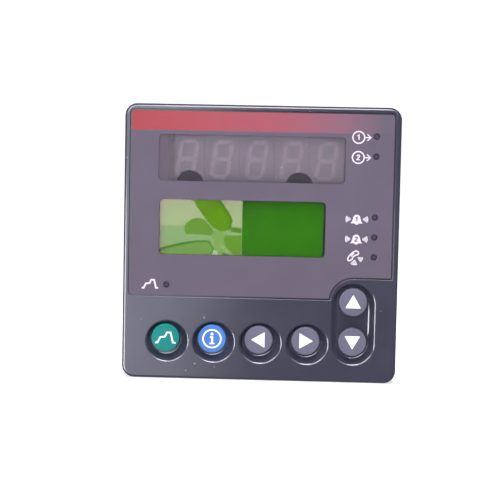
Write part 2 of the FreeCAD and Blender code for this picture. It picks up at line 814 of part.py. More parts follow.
def make_lamps():
    """Six lamps on their stand-offs, with round fronts just behind the facia."""
    body = new_body("indicator_lamps")
    outline = new_sketch(body, "XZ_Plane", f"{RECESS} + lamp_gap")
    for x, z in LAMPS:
        add_circle(outline, x, z, "lamp_radius")
    pad(body, outline, f"{BOARD_FRONT} - {RECESS} - lamp_gap")
    front = worth(f"{RECESS} + lamp_gap")
    dress(body, "Fillet", lambda edge: lies_at(edge, front), "lamp_round")


# ---- displays -------------------------------------------------------------------------------


def bar(length, width, upright):
    """The outline of one light bar: a strip with pointed ends, about the origin."""
    half, tip = width / 2, length / 2
    upper = [(-tip, 0), (-tip + half, half), (tip - half, half)]
    points = upper + [(-x, -z) for x, z in upper]
    return [(z, x) if upright else (x, z) for x, z in points]


def digit_bars(values):
    """The seven bars of one digit, slanted, as (x, z) outlines about the digit's centre."""
    across = values.glyph_width - values.glyph_stroke
    up = (values.glyph_height - values.glyph_stroke) / 2
    lean = math.tan(math.radians(values.glyph_slant))
    level = bar(across - values.segment_gap, values.glyph_stroke, False)
    upright = bar(up - values.segment_gap, values.glyph_stroke, True)
    places = [(level, 0, rise * up) for rise in (-1, 0, 1)]
    places += [(upright, side * across / 2, rise * up / 2) for side in (-1, 1) for rise in (-1, 1)]
    outlines = []
    for outline, shift, rise in places:
        outlines.append([(x + shift + (z + rise) * lean, z + rise) for x, z in outline])
    return outlines


def digit_centres(values):
    """Where each digit stands along X."""
    first = worth(DIGITS_X) - (values.digit_count - 1) / 2 * values.digit_pitch
    return [first + number * values.digit_pitch for number in range(int(values.digit_count))]


def make_segments(values):
    """The light bars of all digits, let into the digits' faces."""
    front, middle = worth(DIGIT_FRONT), worth(DIGITS_Z)
    depth = FreeCAD.Vector(0, values.segment_depth, 0)
    solids = []
    for centre in digit_centres(values):
        for outline in digit_bars(values):
            corners = [FreeCAD.Vector(centre + x, front, middle + z) for x, z in outline]
            face = Part.Face(Part.makePolygon(corners + corners[:1]))
            solids.append(face.extrude(depth))
    segments = doc.addObject("Part::Feature", "led_segments")
    segments.Label = "led_segments"
    segments.Shape = Part.Compound(solids)
    segments.Placement = FreeCAD.Placement()
    finished.append(segments)
    return segments


def make_digits(segments):
    """The digits' housings, side by side, with seats for the light bars."""
    row = doc.addObject("Part::Feature", "digit_housings")
    values = sheet_values()
    width = values.digit_pitch - values.digit_gap
    low = worth(DIGITS_Z) - values.digit_height / 2
    blocks = []
    for centre in digit_centres(values):
        corner = FreeCAD.Vector(centre - width / 2, worth(DIGIT_FRONT), low)
        blocks.append(Part.makeBox(width, values.digit_depth, values.digit_height, corner))
    row.Shape = Part.Compound(blocks)
    digits = doc.addObject("Part::Cut", "led_digits")
    digits.Label = "led_digits"
    digits.Base = row
    digits.Tool = segments
    finished.append(digits)


def make_holder():
    """The frame round the digits; its two half-round tabs hold them from the front."""
    body = new_body("display_holder")
    length = f"{BOARD_FRONT} - {INNER}"
    across = f"({DIGITS_WIDTH} + 2 * holder_gap)"
    up = "(digit_height + 2 * holder_gap)"
    frame = new_sketch(body, "XZ_Plane", INNER)
    add_box(frame, DIGITS_X, DIGITS_Z, f"{across} + 2 * holder_wall", f"{up} + 2 * holder_wall")
    add_box(frame, DIGITS_X, DIGITS_Z, across, up)
    pad(body, frame, length)
    foot = f"{HOLDER_LOW} + holder_wall / 2"
    crest = f"({DIGITS_Z} + upper_window_lift - upper_window_height / 2 + tab_rise)"
    for place in (f"{DIGITS_X} - tab_left", f"{DIGITS_X} + tab_right"):
        tab = new_sketch(body, "XZ_Plane", INNER)
        points = half_round(place, foot, crest)
        add_polygon(tab, points)
        pad(body, tab, "holder_tab")


def half_round(x, foot, crest):
    """A round-topped tab as a fine polygon of formulas."""
    points = [(f"{x} + tab_radius", foot)]
    for step in range(TAB_STEPS + 1):
        angle = f"{180 * step / TAB_STEPS} deg"
        across = f"{x} + tab_radius * cos({angle})"
        points.append((across, f"{crest} - tab_radius + tab_radius * sin({angle})"))
    points.append((f"{x} - tab_radius", foot))
    return points


def make_lcd_frame():
    """The pressed metal frame: a shallow tray with a sight opening."""
    body = new_body("lcd_frame")
    outer = new_sketch(body, "XZ_Plane", INNER)
    add_rounded_box(outer, LCD_X, LCD_Z, LCD_FRAME_WIDTH, LCD_FRAME_HEIGHT, "lcd_sheet * 2")
    pad(body, outer, f"{LCD_BOARD_FRONT} - {INNER}")
    inside = new_sketch(body, "XZ_Plane", LCD_GLASS_FRONT)
    inner_width = f"{LCD_FRAME_WIDTH} - 2 * lcd_sheet"
    inner_height = f"{LCD_FRAME_HEIGHT} - 2 * lcd_sheet"
    add_rounded_box(inside, LCD_X, LCD_Z, inner_width, inner_height, "lcd_sheet")
    pocket(body, inside, f"{LCD_BOARD_FRONT} - {LCD_GLASS_FRONT}")
    sight = new_sketch(body, "XZ_Plane", INNER)
    width = "lower_window_width + lcd_sight_margin - lcd_rim_right"
    height = "lower_window_height + lcd_sight_margin - lcd_rim_top"
    x = f"{LCD_X} - (lcd_sight_margin + lcd_rim_right) / 2"
    z = f"{LCD_Z} - (lcd_sight_margin + lcd_rim_top) / 2"
    add_rounded_box(sight, x, z, width, height, "lcd_sight_corner")
    pocket(body, sight, "lcd_sheet")


def make_lcd_plate(label, front, thickness):
    """A plate that fits inside the metal frame: the glass, or the light guide behind it."""
    body = new_body(label)
    outline = new_sketch(body, "XZ_Plane", front)
    width = f"{LCD_FRAME_WIDTH} - 2 * (lcd_sheet + lcd_glass_gap)"
    height = f"{LCD_FRAME_HEIGHT} - 2 * (lcd_sheet + lcd_glass_gap)"
    add_box(outline, LCD_X, LCD_Z, width, height)
    pad(body, outline, thickness)


def pin_row():
    """The first pin's place; the row runs along X near the LCD board's lower edge."""
    x = f"{LCD_X} - (pin_count - 1) * pin_pitch / 2"
    z = f"{LCD_Z} - {LCD_BOARD_HEIGHT} / 2 + pin_inset"
    return x, z


def cut_pin_holes(body, front, thickness):
    """A row of square holes for the pins."""
    hole = new_sketch(body, "XZ_Plane", front)
    add_box(hole, *pin_row(), "pin_width + 2 * pin_gap", "pin_width + 2 * pin_gap")
    cut = pocket(body, hole, thickness)
    repeat(body, cut, hole, "H_Axis", "pin_pitch", "pin_count")


def make_lcd_board():
    """The LCD's own circuit board."""
    body = new_body("lcd_board")
    outline = new_sketch(body, "XZ_Plane", LCD_BOARD_FRONT)
    add_box(outline, LCD_X, LCD_Z, f"{LCD_FRAME_WIDTH} + 2 * lcd_board_margin", LCD_BOARD_HEIGHT)
    pad(body, outline, "board_thickness")
    cut_pin_holes(body, LCD_BOARD_FRONT, "board_thickness")


def make_pins():
    """The pins that carry the LCD board on the display board."""
    body = new_body("lcd_pins")
    spacer = new_sketch(body, "XZ_Plane", LCD_BOARD_REAR)
    add_box(spacer, *pin_row(), "pin_pitch", "pin_pitch")
    collar = pad(body, spacer, f"{BOARD_FRONT} - {LCD_BOARD_REAR}")
    repeat(body, collar, spacer, "H_Axis", "pin_pitch", "pin_count")
    rod = new_sketch(body, "XZ_Plane", LCD_BOARD_FRONT)
    add_box(rod, *pin_row(), "pin_width", "pin_width")
    one = pad(body, rod, f"{BOARD_REAR} - {LCD_BOARD_FRONT}")
    repeat(body, one, rod, "H_Axis", "pin_pitch", "pin_count")


def make_display_board():
    """The board behind the front, screwed to the bezel's bosses."""
    body = new_body("display_board")
    width = f"2 * ({CASE_HALF_INSIDE} - board_clearance)"
    outline = new_sketch(body, "XZ_Plane", BOARD_FRONT)
    add_rounded_box(outline, "0", "0", width, width, "board_clearance * 2")
    for x, z in BOSSES:
        add_circle(outline, x, z, "pilot_radius + screw_gap")
    pad(body, outline, "board_thickness")
    cut_pin_holes(body, BOARD_FRONT, "board_thickness")


def make_screws(label, places, head_front, shank_front):
    """Headed screws with slotted heads that face the rear."""
    body = new_body(label)
    heads = new_sketch(body, "XZ_Plane", head_front)
    shanks = new_sketch(body, "XZ_Plane", shank_front)
    for x, z in places:
        add_circle(heads, x, z, "screw_head_radius")
        add_circle(shanks, x, z, "pilot_radius - screw_gap")
    pad(body, heads, "screw_head")
    pad(body, shanks, f"{head_front} - ({shank_front})")
    rear = worth(f"{head_front} + screw_head")
    dress(body, "Chamfer", lambda edge: lies_at(edge, rear), "screw_head * 0.3")
    slots = new_sketch(body, "XZ_Plane", f"{head_front} + screw_head - slot_depth")
    for x, z in places:
        add_box(slots, x, z, "3 * screw_head_radius", "slot_width")
    pocket(body, slots, "screw_head")


# ---- inside the case --------------------------------------------------------------------------


def board_plane(number):
    """The left face of one of the slide-in boards."""
    return f"(slide_board_side + {number} * slide_board_pitch - {CASE_HALF_INSIDE})"


def make_slide_board(label, number):
    """A board that stands upright in the case's rails, with a tongue in its link connector."""
    body = new_body(label)
    outline = new_sketch(body, "YZ_Plane", board_plane(number))
    half = f"({CASE_HALF_INSIDE} - board_clearance)"
    tip = f"{SLIDE_FRONT} - tongue_length"
    rear = "case_reach - slide_board_back"
    corners = [
        (SLIDE_FRONT, f"-{half}"),
        (rear, f"-{half}"),
        (rear, half),
        (SLIDE_FRONT, half),
        (SLIDE_FRONT, "tongue_height / 2"),
        (tip, "tongue_height / 2"),
        (tip, "-tongue_height / 2"),
        (SLIDE_FRONT, "-tongue_height / 2"),
    ]
    add_polygon(outline, corners)
    pad(body, outline, "board_thickness", rearward=False)


def make_links():
    """The connectors on the display board's back that take the boards' tongues."""
    body = new_body("link_plugs")
    shells = new_sketch(body, "XZ_Plane", BOARD_REAR)
    slots = new_sketch(body, "XZ_Plane", f"{BOARD_REAR} + link_wall")
    for number in range(int(SIZES["slide_board_count"])):
        middle = f"{board_plane(number)} + board_thickness / 2"
        add_box(shells, middle, "0", "link_width", "tongue_height + 2 * link_wall")
        add_box(slots, middle, "0", "board_thickness + 2 * link_gap", "tongue_height + 2 * link_gap")
    pad(body, shells, "link_depth")
    pocket(body, slots, "link_depth")


def make_transformer():
    """Laminated core, and the winding round its middle leg."""
    core = new_body("transformer_core")
    outline = new_sketch(core, "YZ_Plane", f"{board_plane(0)} + board_thickness + winding_bulge")
    add_box(outline, CORE_Y, "core_z", "core_length", "core_height")
    for side in (-1, 1):
        middle = f"{CORE_Y} + {side} * (core_leg + core_window) / 2"
        add_box(outline, middle, "core_z", "core_window", "core_window_height")
    pad(core, outline, "core_thickness", rearward=False)
    winding = new_body("transformer_winding")
    height = "core_window_height - 2 * winding_gap"
    coil = new_sketch(winding, "XY_Plane", f"core_z - ({height}) / 2")
    middle = f"{board_plane(0)} + board_thickness + winding_bulge + core_thickness / 2"
    deep = "core_thickness + 2 * winding_bulge"
    long = "core_leg + 2 * core_window - 2 * winding_gap"
    add_rounded_box(coil, middle, CORE_Y, deep, long, "winding_corner")
    add_box(coil, middle, CORE_Y, "core_thickness + winding_gap", "core_leg + winding_gap")
    pad(winding, coil, height, rearward=False)


def make_upright_cylinders(label, number, places, radius, rise):
    """Round parts that stand on a board's right face."""
    body = new_body(label)
    outline = new_sketch(body, "YZ_Plane", f"{board_plane(number)} + board_thickness")
    for y, z in places:
        add_circle(outline, y, z, radius)
    pad(body, outline, rise, rearward=False)
    top = worth(f"{board_plane(number)} + board_thickness + {rise}")
    dress(body, "Fillet", lambda edge: abs(edge.BoundBox.XMin - top) < 1e-4, "capacitor_edge")


def make_blocks(label, number, places, width, height, rise):
    """Square parts that stand on a board's right face."""
    body = new_body(label)
    outline = new_sketch(body, "YZ_Plane", f"{board_plane(number)} + board_thickness")
    for y, z in places:
        add_box(outline, y, z, width, height)
    pad(body, outline, rise, rearward=False)
    top = worth(f"{board_plane(number)} + board_thickness + {rise}")
    dress(body, "Chamfer", lambda edge: abs(edge.BoundBox.XMin - top) < 1e-4, "chip_edge")


def make_cell_holder():
    """The clock's button cell in a round clip with an open mouth."""
    face = f"({board_plane(2)} + board_thickness)"
    clip = new_body("cell_holder")
    outline = new_sketch(clip, "YZ_Plane", face)
    add_circle(outline, CELL_Y, "-cell_z", "cell_radius + cell_gap + clip_wall")
    pad(clip, outline, "clip_floor + cell_thickness", rearward=False)
    seat = new_sketch(clip, "YZ_Plane", f"{face} + clip_floor")
    add_circle(seat, CELL_Y, "-cell_z", "cell_radius + cell_gap")
    pocket(clip, seat, "2 * cell_thickness", rearward=False)
    mouth = new_sketch(clip, "YZ_Plane", f"{face} + clip_floor")
    add_box(mouth, CELL_Y, "-cell_z - cell_radius", "clip_mouth", "clip_mouth")
    pocket(clip, mouth, "2 * cell_thickness", rearward=False)
    cell = new_body("clock_cell")
    disc = new_sketch(cell, "YZ_Plane", f"{face} + clip_floor")
    add_circle(disc, CELL_Y, "-cell_z", "cell_radius")
    pad(cell, disc, "cell_thickness", rearward=False)
    top = worth(f"{face} + clip_floor + cell_thickness")
    dress(cell, "Fillet", lambda edge: abs(edge.BoundBox.XMin - top) < 1e-4, "cell_edge")


def make_case():
    """The sleeve: rails for the boards, corner bosses, hook slots, vents and bracket teeth."""
    body = new_body("case")
    tube = new_sketch(body, "XZ_Plane", CASE_FRONT)
    add_rounded_box(tube, "0", "0", f"2 * {CASE_HALF}", f"2 * {CASE_HALF}", "case_corner")
    add_box(tube, "0", "0", f"2 * {CASE_HALF_INSIDE}", f"2 * {CASE_HALF_INSIDE}")
    pad(body, tube, f"case_reach - ({CASE_FRONT})")
    add_rails(body)
    add_case_bosses(body)
    cut_hook_slots(body)
    cut_vents(body)
    add_teeth(body)


def add_rails(body):
    """Pairs of rails, above and below, that hold each board's edges."""
    rails = new_sketch(body, "XZ_Plane", SLIDE_FRONT)
    level = f"({CASE_HALF_INSIDE} + root_bite - (rail_height + root_bite) / 2)"
    for number in range(int(SIZES["slide_board_count"])):
        left = f"{board_plane(number)} - rail_gap - rail_width / 2"
        right = f"{board_plane(number)} + board_thickness + rail_gap + rail_width / 2"
        for x in (left, right):
            for rise in (-1, 1):
                add_box(rails, x, f"{rise} * {level}", "rail_width", "rail_height + root_bite")
    pad(body, rails, f"{SOCKET_FRONT} - {SLIDE_FRONT} - rail_short")


def add_case_bosses(body):
    """Corner bosses at the rear for the cover's screws."""
    bosses = new_sketch(body, "XZ_Plane", "case_reach - cover_boss_length")
    pilots = new_sketch(body, "XZ_Plane", "case_reach - cover_boss_length")
    for x, z in COVER_SCREWS:
        add_circle(bosses, x, z, "cover_boss_radius")
        add_circle(pilots, x, z, "pilot_radius")
    pad(body, bosses, "cover_boss_length")
    pocket(body, pilots, "cover_boss_length")


def cut_hook_slots(body):
    """Slots in the top and bottom walls for the bezel's hooks."""
    middle = "-(gasket_thickness + hook_back + hook_length / 2)"
    slots = new_sketch(body, "XY_Plane", f"-2 * {CASE_HALF}")
    width = "hook_width + 2 * hook_gap"
    for side in (-1, 1):
        add_box(slots, f"{side} * hook_place", middle, width, "hook_length + 2 * hook_gap")
    pocket(body, slots, f"4 * {CASE_HALF}", rearward=False)


def cut_vents(body):
    """Rows of vent slots through the top and bottom walls."""
    for side in (-1, 1):
        slot = new_sketch(body, "XY_Plane", f"-2 * {CASE_HALF}")
        x = f"{side} * vent_place"
        add_rounded_box(slot, x, "vent_start", "vent_length", "vent_width", "vent_width / 2 - hair")
        cut = pocket(body, slot, f"4 * {CASE_HALF}", rearward=False)
        repeat(body, cut, slot, "V_Axis", "vent_pitch", "vent_count")


def add_teeth(body):
    """A row of ratchet teeth along the middle of each side, for the panel brackets."""
    for name, plane in (("upright", "YZ_Plane"), ("level", "XY_Plane")):
        for side in (-1, 1):
            tooth = new_sketch(body, plane, "-tooth_width / 2")
            base = f"{side} * ({CASE_HALF} - root_bite)"
            tip = f"{side} * ({CASE_HALF} + tooth_height)"
            begin, end = "tooth_start", "tooth_start + tooth_pitch"
            if name == "upright":
                corners = [(begin, base), (end, base), (begin, tip)]
                axis = "H_Axis"
            else:
                corners = [(base, begin), (base, end), (tip, begin)]
                axis = "V_Axis"
            add_polygon(tooth, corners)
            one = pad(body, tooth, "tooth_width", rearward=False)
            repeat(body, one, tooth, axis, "tooth_pitch", "tooth_count")


# ---- rear ---------------------------------------------------------------------------------


def block_middle(number):
    """The middle of a board's terminal block along X."""
    return f"({board_plane(number)} + board_thickness + socket_width / 2)"


def make_sockets():
    """The board halves of the terminals: long shells open to the rear."""
    body = new_body("terminal_sockets")
    shells = new_sketch(body, "XZ_Plane", SOCKET_FRONT)
    inside = new_sketch(body, "XZ_Plane", f"{SOCKET_FRONT} + socket_wall")
    for number in range(int(SIZES["slide_board_count"])):
        add_box(shells, block_middle(number), "0", "socket_width", f"{BLOCK_HEIGHT} + 2 * socket_wall")
        add_box(inside, block_middle(number), "0", "socket_width - 2 * socket_wall", BLOCK_HEIGHT)
    pad(body, shells, "socket_depth")
    pocket(body, inside, "socket_depth")


def make_plugs():
    """The plug-in terminal blocks, with a clamp screw hole and a wire entry for each way."""
    body = new_body("terminal_plugs")
    heads = new_sketch(body, "XZ_Plane", SOCKET_REAR)
    noses = new_sketch(body, "XZ_Plane", f"{SOCKET_REAR} - plug_nose")
    for number in range(int(SIZES["slide_board_count"])):
        add_box(heads, block_middle(number), "0", "plug_head_width", BLOCK_HEIGHT)
        nose_width = "socket_width - 2 * (socket_wall + plug_gap)"
        add_box(noses, block_middle(number), "0", nose_width, f"{BLOCK_HEIGHT} - 2 * plug_gap")
    pad(body, heads, f"{PLUG_REAR} - {SOCKET_REAR}")
    pad(body, noses, "plug_nose")
    lowest = "-(way_count - 1) * way_pitch / 2"
    screws = new_sketch(body, "XZ_Plane", f"{PLUG_REAR} - clamp_hole_depth")
    entries = new_sketch(body, "XZ_Plane", f"{PLUG_REAR} - wire_entry_depth")
    for number in range(int(SIZES["slide_board_count"])):
        middle = block_middle(number)
        add_circle(screws, f"{middle} - clamp_offset", lowest, "clamp_screw_radius + plug_gap")
        add_box(entries, f"{middle} + clamp_offset", lowest, "wire_entry", "wire_entry")
    round_holes = pocket(body, screws, "clamp_hole_depth")
    repeat(body, round_holes, screws, "V_Axis", "way_pitch", "way_count")
    square_holes = pocket(body, entries, "wire_entry_depth")
    repeat(body, square_holes, entries, "V_Axis", "way_pitch", "way_count")


def make_clamp_screws():
    """The slotted clamp screws of the terminals."""
    body = new_body("terminal_screws")
    lowest = "-(way_count - 1) * way_pitch / 2"
    rounds = new_sketch(body, "XZ_Plane", f"{PLUG_REAR} - clamp_hole_depth")
    for number in range(int(SIZES["slide_board_count"])):
        add_circle(rounds, f"{block_middle(number)} - clamp_offset", lowest, "clamp_screw_radius")
    length = "clamp_hole_depth - clamp_screw_sink"
    one = pad(body, rounds, length)
    repeat(body, one, rounds, "V_Axis", "way_pitch", "way_count")
    slots = new_sketch(body, "XZ_Plane", f"{PLUG_REAR} - clamp_screw_sink - slot_depth")
    for number in range(int(SIZES["slide_board_count"])):
        x = f"{block_middle(number)} - clamp_offset"
        add_box(slots, x, lowest, "3 * clamp_screw_radius", "slot_width")
    cut = pocket(body, slots, "slot_depth")
    repeat(body, cut, slots, "V_Axis", "way_pitch", "way_count")


def make_cover():
    """The rear cover: openings for the plugs, vents between them, and a lip inside the case."""
    body = new_body("rear_cover")
    plate = new_sketch(body, "XZ_Plane", "case_reach")
    add_rounded_box(plate, "0", "0", f"2 * {CASE_HALF}", f"2 * {CASE_HALF}", "case_corner")
    for x, z in COVER_SCREWS:
        add_circle(plate, x, z, "pilot_radius + screw_gap")
    for number in range(int(SIZES["slide_board_count"])):
        width = "plug_head_width + 2 * cover_plug_gap"
        add_box(plate, block_middle(number), "0", width, f"{BLOCK_HEIGHT} + 2 * cover_plug_gap")
    pad(body, plate, "cover_thickness")
    add_cover_lips(body)
    for number in range(int(SIZES["slide_board_count"]) - 1):
        slot = new_sketch(body, "XZ_Plane", "case_reach")
        middle = f"{block_middle(number)} + slide_board_pitch / 2"
        add_box(slot, middle, "-(vent_count - 1) * vent_pitch / 2", "slide_board_pitch / 3", "vent_width")
        cut = pocket(body, slot, "cover_thickness")
        repeat(body, cut, slot, "V_Axis", "vent_pitch", "vent_count")
    rear = worth(COVER_REAR)
    bound = worth(f"{CASE_HALF} - case_corner")

    def on_outline(edge):
        centre = edge.BoundBox.Center
        outside = max(abs(centre.x), abs(centre.z)) > bound
        return lies_at(edge, rear) and outside and not round_hole(edge)

    dress(body, "Chamfer", on_outline, "cover_edge")


def add_cover_lips(body):
    """Straight lips that locate the cover inside the case, clear of the corner bosses."""
    lips = new_sketch(body, "XZ_Plane", "case_reach - cover_lip")
    length = f"2 * ({COVER_SCREW} - cover_boss_radius - cover_lip_relief)"
    level = f"({CASE_HALF_INSIDE} - cover_lip_gap - cover_lip_wall / 2)"
    for side in (-1, 1):
        add_box(lips, "0", f"{side} * {level}", length, "cover_lip_wall")
        add_box(lips, f"{side} * {level}", "0", "cover_lip_wall", length)
    pad(body, lips, "cover_lip + root_bite")


# ---- the whole ---------------------------------------------------------------------------------


def sheet_values():
    """The sheet's numbers by name, for shapes that are made in code."""
    return SimpleNamespace(**{name: float(sheet.get(name)) for name in SIZES})


def make_front():
    make_bezel()
    make_facia()
    make_lens("led_window", "upper")
    make_lens("lcd_window", "lower")
    make_gasket()
    for name, place in KEYS.items():
        make_key(name, place)
        make_plunger(name, place)
    make_switches()
    make_lamps()
    make_display_board()
    make_screws("board_screws", BOSSES, BOARD_REAR, f"{INNER} + screw_tip")


def make_displays():
    segments = make_segments(sheet_values())
    make_digits(segments)
    make_holder()
    make_lcd_frame()
    make_lcd_plate("lcd_glass", LCD_GLASS_FRONT, "lcd_glass_thickness")
    make_lcd_plate("lcd_backlight", LCD_GLASS_REAR, "lcd_light_thickness")
    make_lcd_board()
    make_pins()


def make_inside():
    make_slide_board("power_board", 0)
    make_slide_board("output_board", 1)
    make_slide_board("control_board", 2)
    make_links()
    make_transformer()
    front = f"{SLIDE_FRONT} + capacitor_y"
    tall = [(front, "capacitor_high"), (front, "capacitor_low")]
    tall.append((f"{SOCKET_FRONT} - capacitor_back", "-capacitor_high"))
    make_upright_cylinders("capacitors", 0, tall, "capacitor_radius", "capacitor_rise")
    row = f"{SLIDE_FRONT} + relay_y"
    switched = [(row, f"{step} * relay_pitch") for step in (-1, 0, 1)]
    switched.append((f"{row} + relay_step", "relay_pitch / 2"))
    make_blocks("relays", 1, switched, "relay_length", "relay_width", "relay_rise")
    middle = f"{SLIDE_FRONT} + processor_y"
    side = "processor_width"
    make_blocks("processor", 2, [(middle, "processor_z")], side, side, "processor_rise")
    around = [(middle, "-memory_low"), (f"{SLIDE_FRONT} + memory_y", "processor_z")]
    around.append((f"{middle} + memory_step", "memory_high"))
    make_blocks("memory_chips", 2, around, "memory_width", "memory_length", "memory_rise")
    make_cell_holder()


def make_rear():
    make_case()
    make_sockets()
    make_plugs()
    make_clamp_screws()
    make_cover()
    make_screws("cover_screws", COVER_SCREWS, COVER_REAR, "case_reach - cover_boss_length + screw_tip")


def check_and_export():
    """Refuse a failed object, then write one file for each sub-part."""
    doc.recompute()
    failed = [item.Label for item in doc.Objects if {"Invalid", "Error"} & set(item.State)]
    if failed:
        raise RuntimeError(f"failed objects: {failed}")
    for item in finished:
        if item.Shape.isNull() or not item.Shape.isValid() or not item.Shape.Solids:
            raise RuntimeError(f"{item.Label} has no valid shape")
    os.makedirs("parts", exist_ok=True)
    for item in finished:
        item.Shape.exportStep(f"parts/{item.Label}.step")


fill_sheet()
make_front()
make_displays()
make_inside()
make_rear()
check_and_export()
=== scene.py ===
import json
import math

import bmesh
import bpy
from mathutils import Matrix, Vector


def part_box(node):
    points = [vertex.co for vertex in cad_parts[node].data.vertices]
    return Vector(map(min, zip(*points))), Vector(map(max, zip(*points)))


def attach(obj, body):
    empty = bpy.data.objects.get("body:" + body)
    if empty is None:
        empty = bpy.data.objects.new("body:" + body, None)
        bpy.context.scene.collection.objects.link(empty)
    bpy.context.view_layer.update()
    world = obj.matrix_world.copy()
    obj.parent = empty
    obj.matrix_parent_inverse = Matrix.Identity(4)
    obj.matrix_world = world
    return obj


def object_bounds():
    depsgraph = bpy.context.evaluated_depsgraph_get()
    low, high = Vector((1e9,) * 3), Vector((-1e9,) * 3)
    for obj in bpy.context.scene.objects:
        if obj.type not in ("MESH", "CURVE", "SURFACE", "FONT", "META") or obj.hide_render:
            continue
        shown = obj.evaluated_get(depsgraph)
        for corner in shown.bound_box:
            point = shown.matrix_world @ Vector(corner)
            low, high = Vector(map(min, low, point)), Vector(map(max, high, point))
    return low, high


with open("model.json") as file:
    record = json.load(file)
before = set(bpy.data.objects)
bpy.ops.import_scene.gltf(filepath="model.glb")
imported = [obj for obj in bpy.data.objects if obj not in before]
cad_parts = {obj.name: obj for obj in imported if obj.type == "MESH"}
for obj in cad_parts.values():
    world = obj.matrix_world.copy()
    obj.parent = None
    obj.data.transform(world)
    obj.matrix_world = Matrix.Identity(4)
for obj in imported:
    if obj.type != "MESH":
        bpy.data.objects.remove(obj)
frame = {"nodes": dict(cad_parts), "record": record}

CAD_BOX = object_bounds()

# Sizes on the object are in millimetres, and MM turns them into metres. The studio is in metres.
MM = 0.001

# The camera, in millimetres and degrees: a long lens half a metre from the front, a little right
# of it and above.
CAMERA_PLACE = (13.5, -500.0, 31.1)
CAMERA_TURN = (3.95, -2.04, -1.30)
CAMERA_LENS = 96.5
SENSOR = 36.0
NEAREST_SEEN = 50.0

WHITE, BLACK = (1.0, 1.0, 1.0), (0.0, 0.0, 0.0)
EVEN = (1.0, 1.0, 1.0)

# Colours are red, green and blue shares of light. A cover is how much a layer hides, from 0 to 1.

# The facia's red band: its lower edge and how soft that is, where the band starts to fade and
# where it has gone, its first colour, and the colours that it passes on the way to the facia's.
FACIA = (0.091, 0.075, 0.106)
BAND_FOOT, BAND_EDGE = 40.4, 0.1
BAND_LEFT, BAND_RIGHT = -47.4, 44.0
BAND_RED = (0.25, 0.042, 0.05)
BAND_STOPS = ((0.3, (0.262, 0.055, 0.072)), (0.55, (0.25, 0.062, 0.087)), (0.83, (0.168, 0.082, 0.115)))

# The upper window: a faint tint, dust, and a printed border at its left that is solid up to the
# first place and gone at the second. Specks of dust, and those on the bezel, are given as places
# a metre, the size of a speck there, and the share of the places that carries one.
WINDOW_TINT, WINDOW_COVER = (0.16, 0.14, 0.168), 0.05
WINDOW_DUST, DUST_COLOUR, DUST_COVER = (420.0, 0.13, 0.2), (0.5, 0.48, 0.52), 0.35
BORDER_START, BORDER_END = -35.0, -31.0
BORDER_INK = (0.083, 0.066, 0.09)

# The glossy bezel and the pale specks on it.
FRONT = (0.034, 0.033, 0.054)
FRONT_SPECKS, SPECK_COLOUR = (300.0, 0.1, 0.25), (0.16, 0.16, 0.18)

# The film behind that window: its thickness, its distance from the window, its notches round the
# holder's tabs (from the digits' middle), its tints at its foot and its top, and its cover. The
# lighter tint at its top is a painted reflection, a haze of light over the digits' upper part.
FILM, FILM_GAP = 0.15, 0.05
NOTCHES, NOTCH_RADIUS, NOTCH_MIDDLE = (-24.2, 15.6), 5.1, -9.25
FILM_FOOT, FILM_TOP_WITH_PAINTED_REFLECTION, FILM_COVER = (0.19, 0.16, 0.203), (0.25, 0.213, 0.27), 0.3


# ---- materials ------------------------------------------------------------------------------

# How fine the noise of each material is, in features a metre, and how deep its grain.
PLASTIC_CLOUDS, PLASTIC_GLOSS, PLASTIC_GRAIN = 55.0, 180.0, 2600.0
METAL_STREAKS = 900.0
BOARD_TRACKS, BOARD_GLOSS = 420.0, 300.0
GLASS_CLOUDS, GLASS_GLOSS = 40.0, 120.0
GRAIN_DEPTH, TRACK_DEPTH = 0.02, 0.05

# Noise mostly stays between these two values. A board's tracks end between the next two.
NOISE_RANGE, TRACK_EDGE = (0.3, 0.7), (0.25, 0.4)


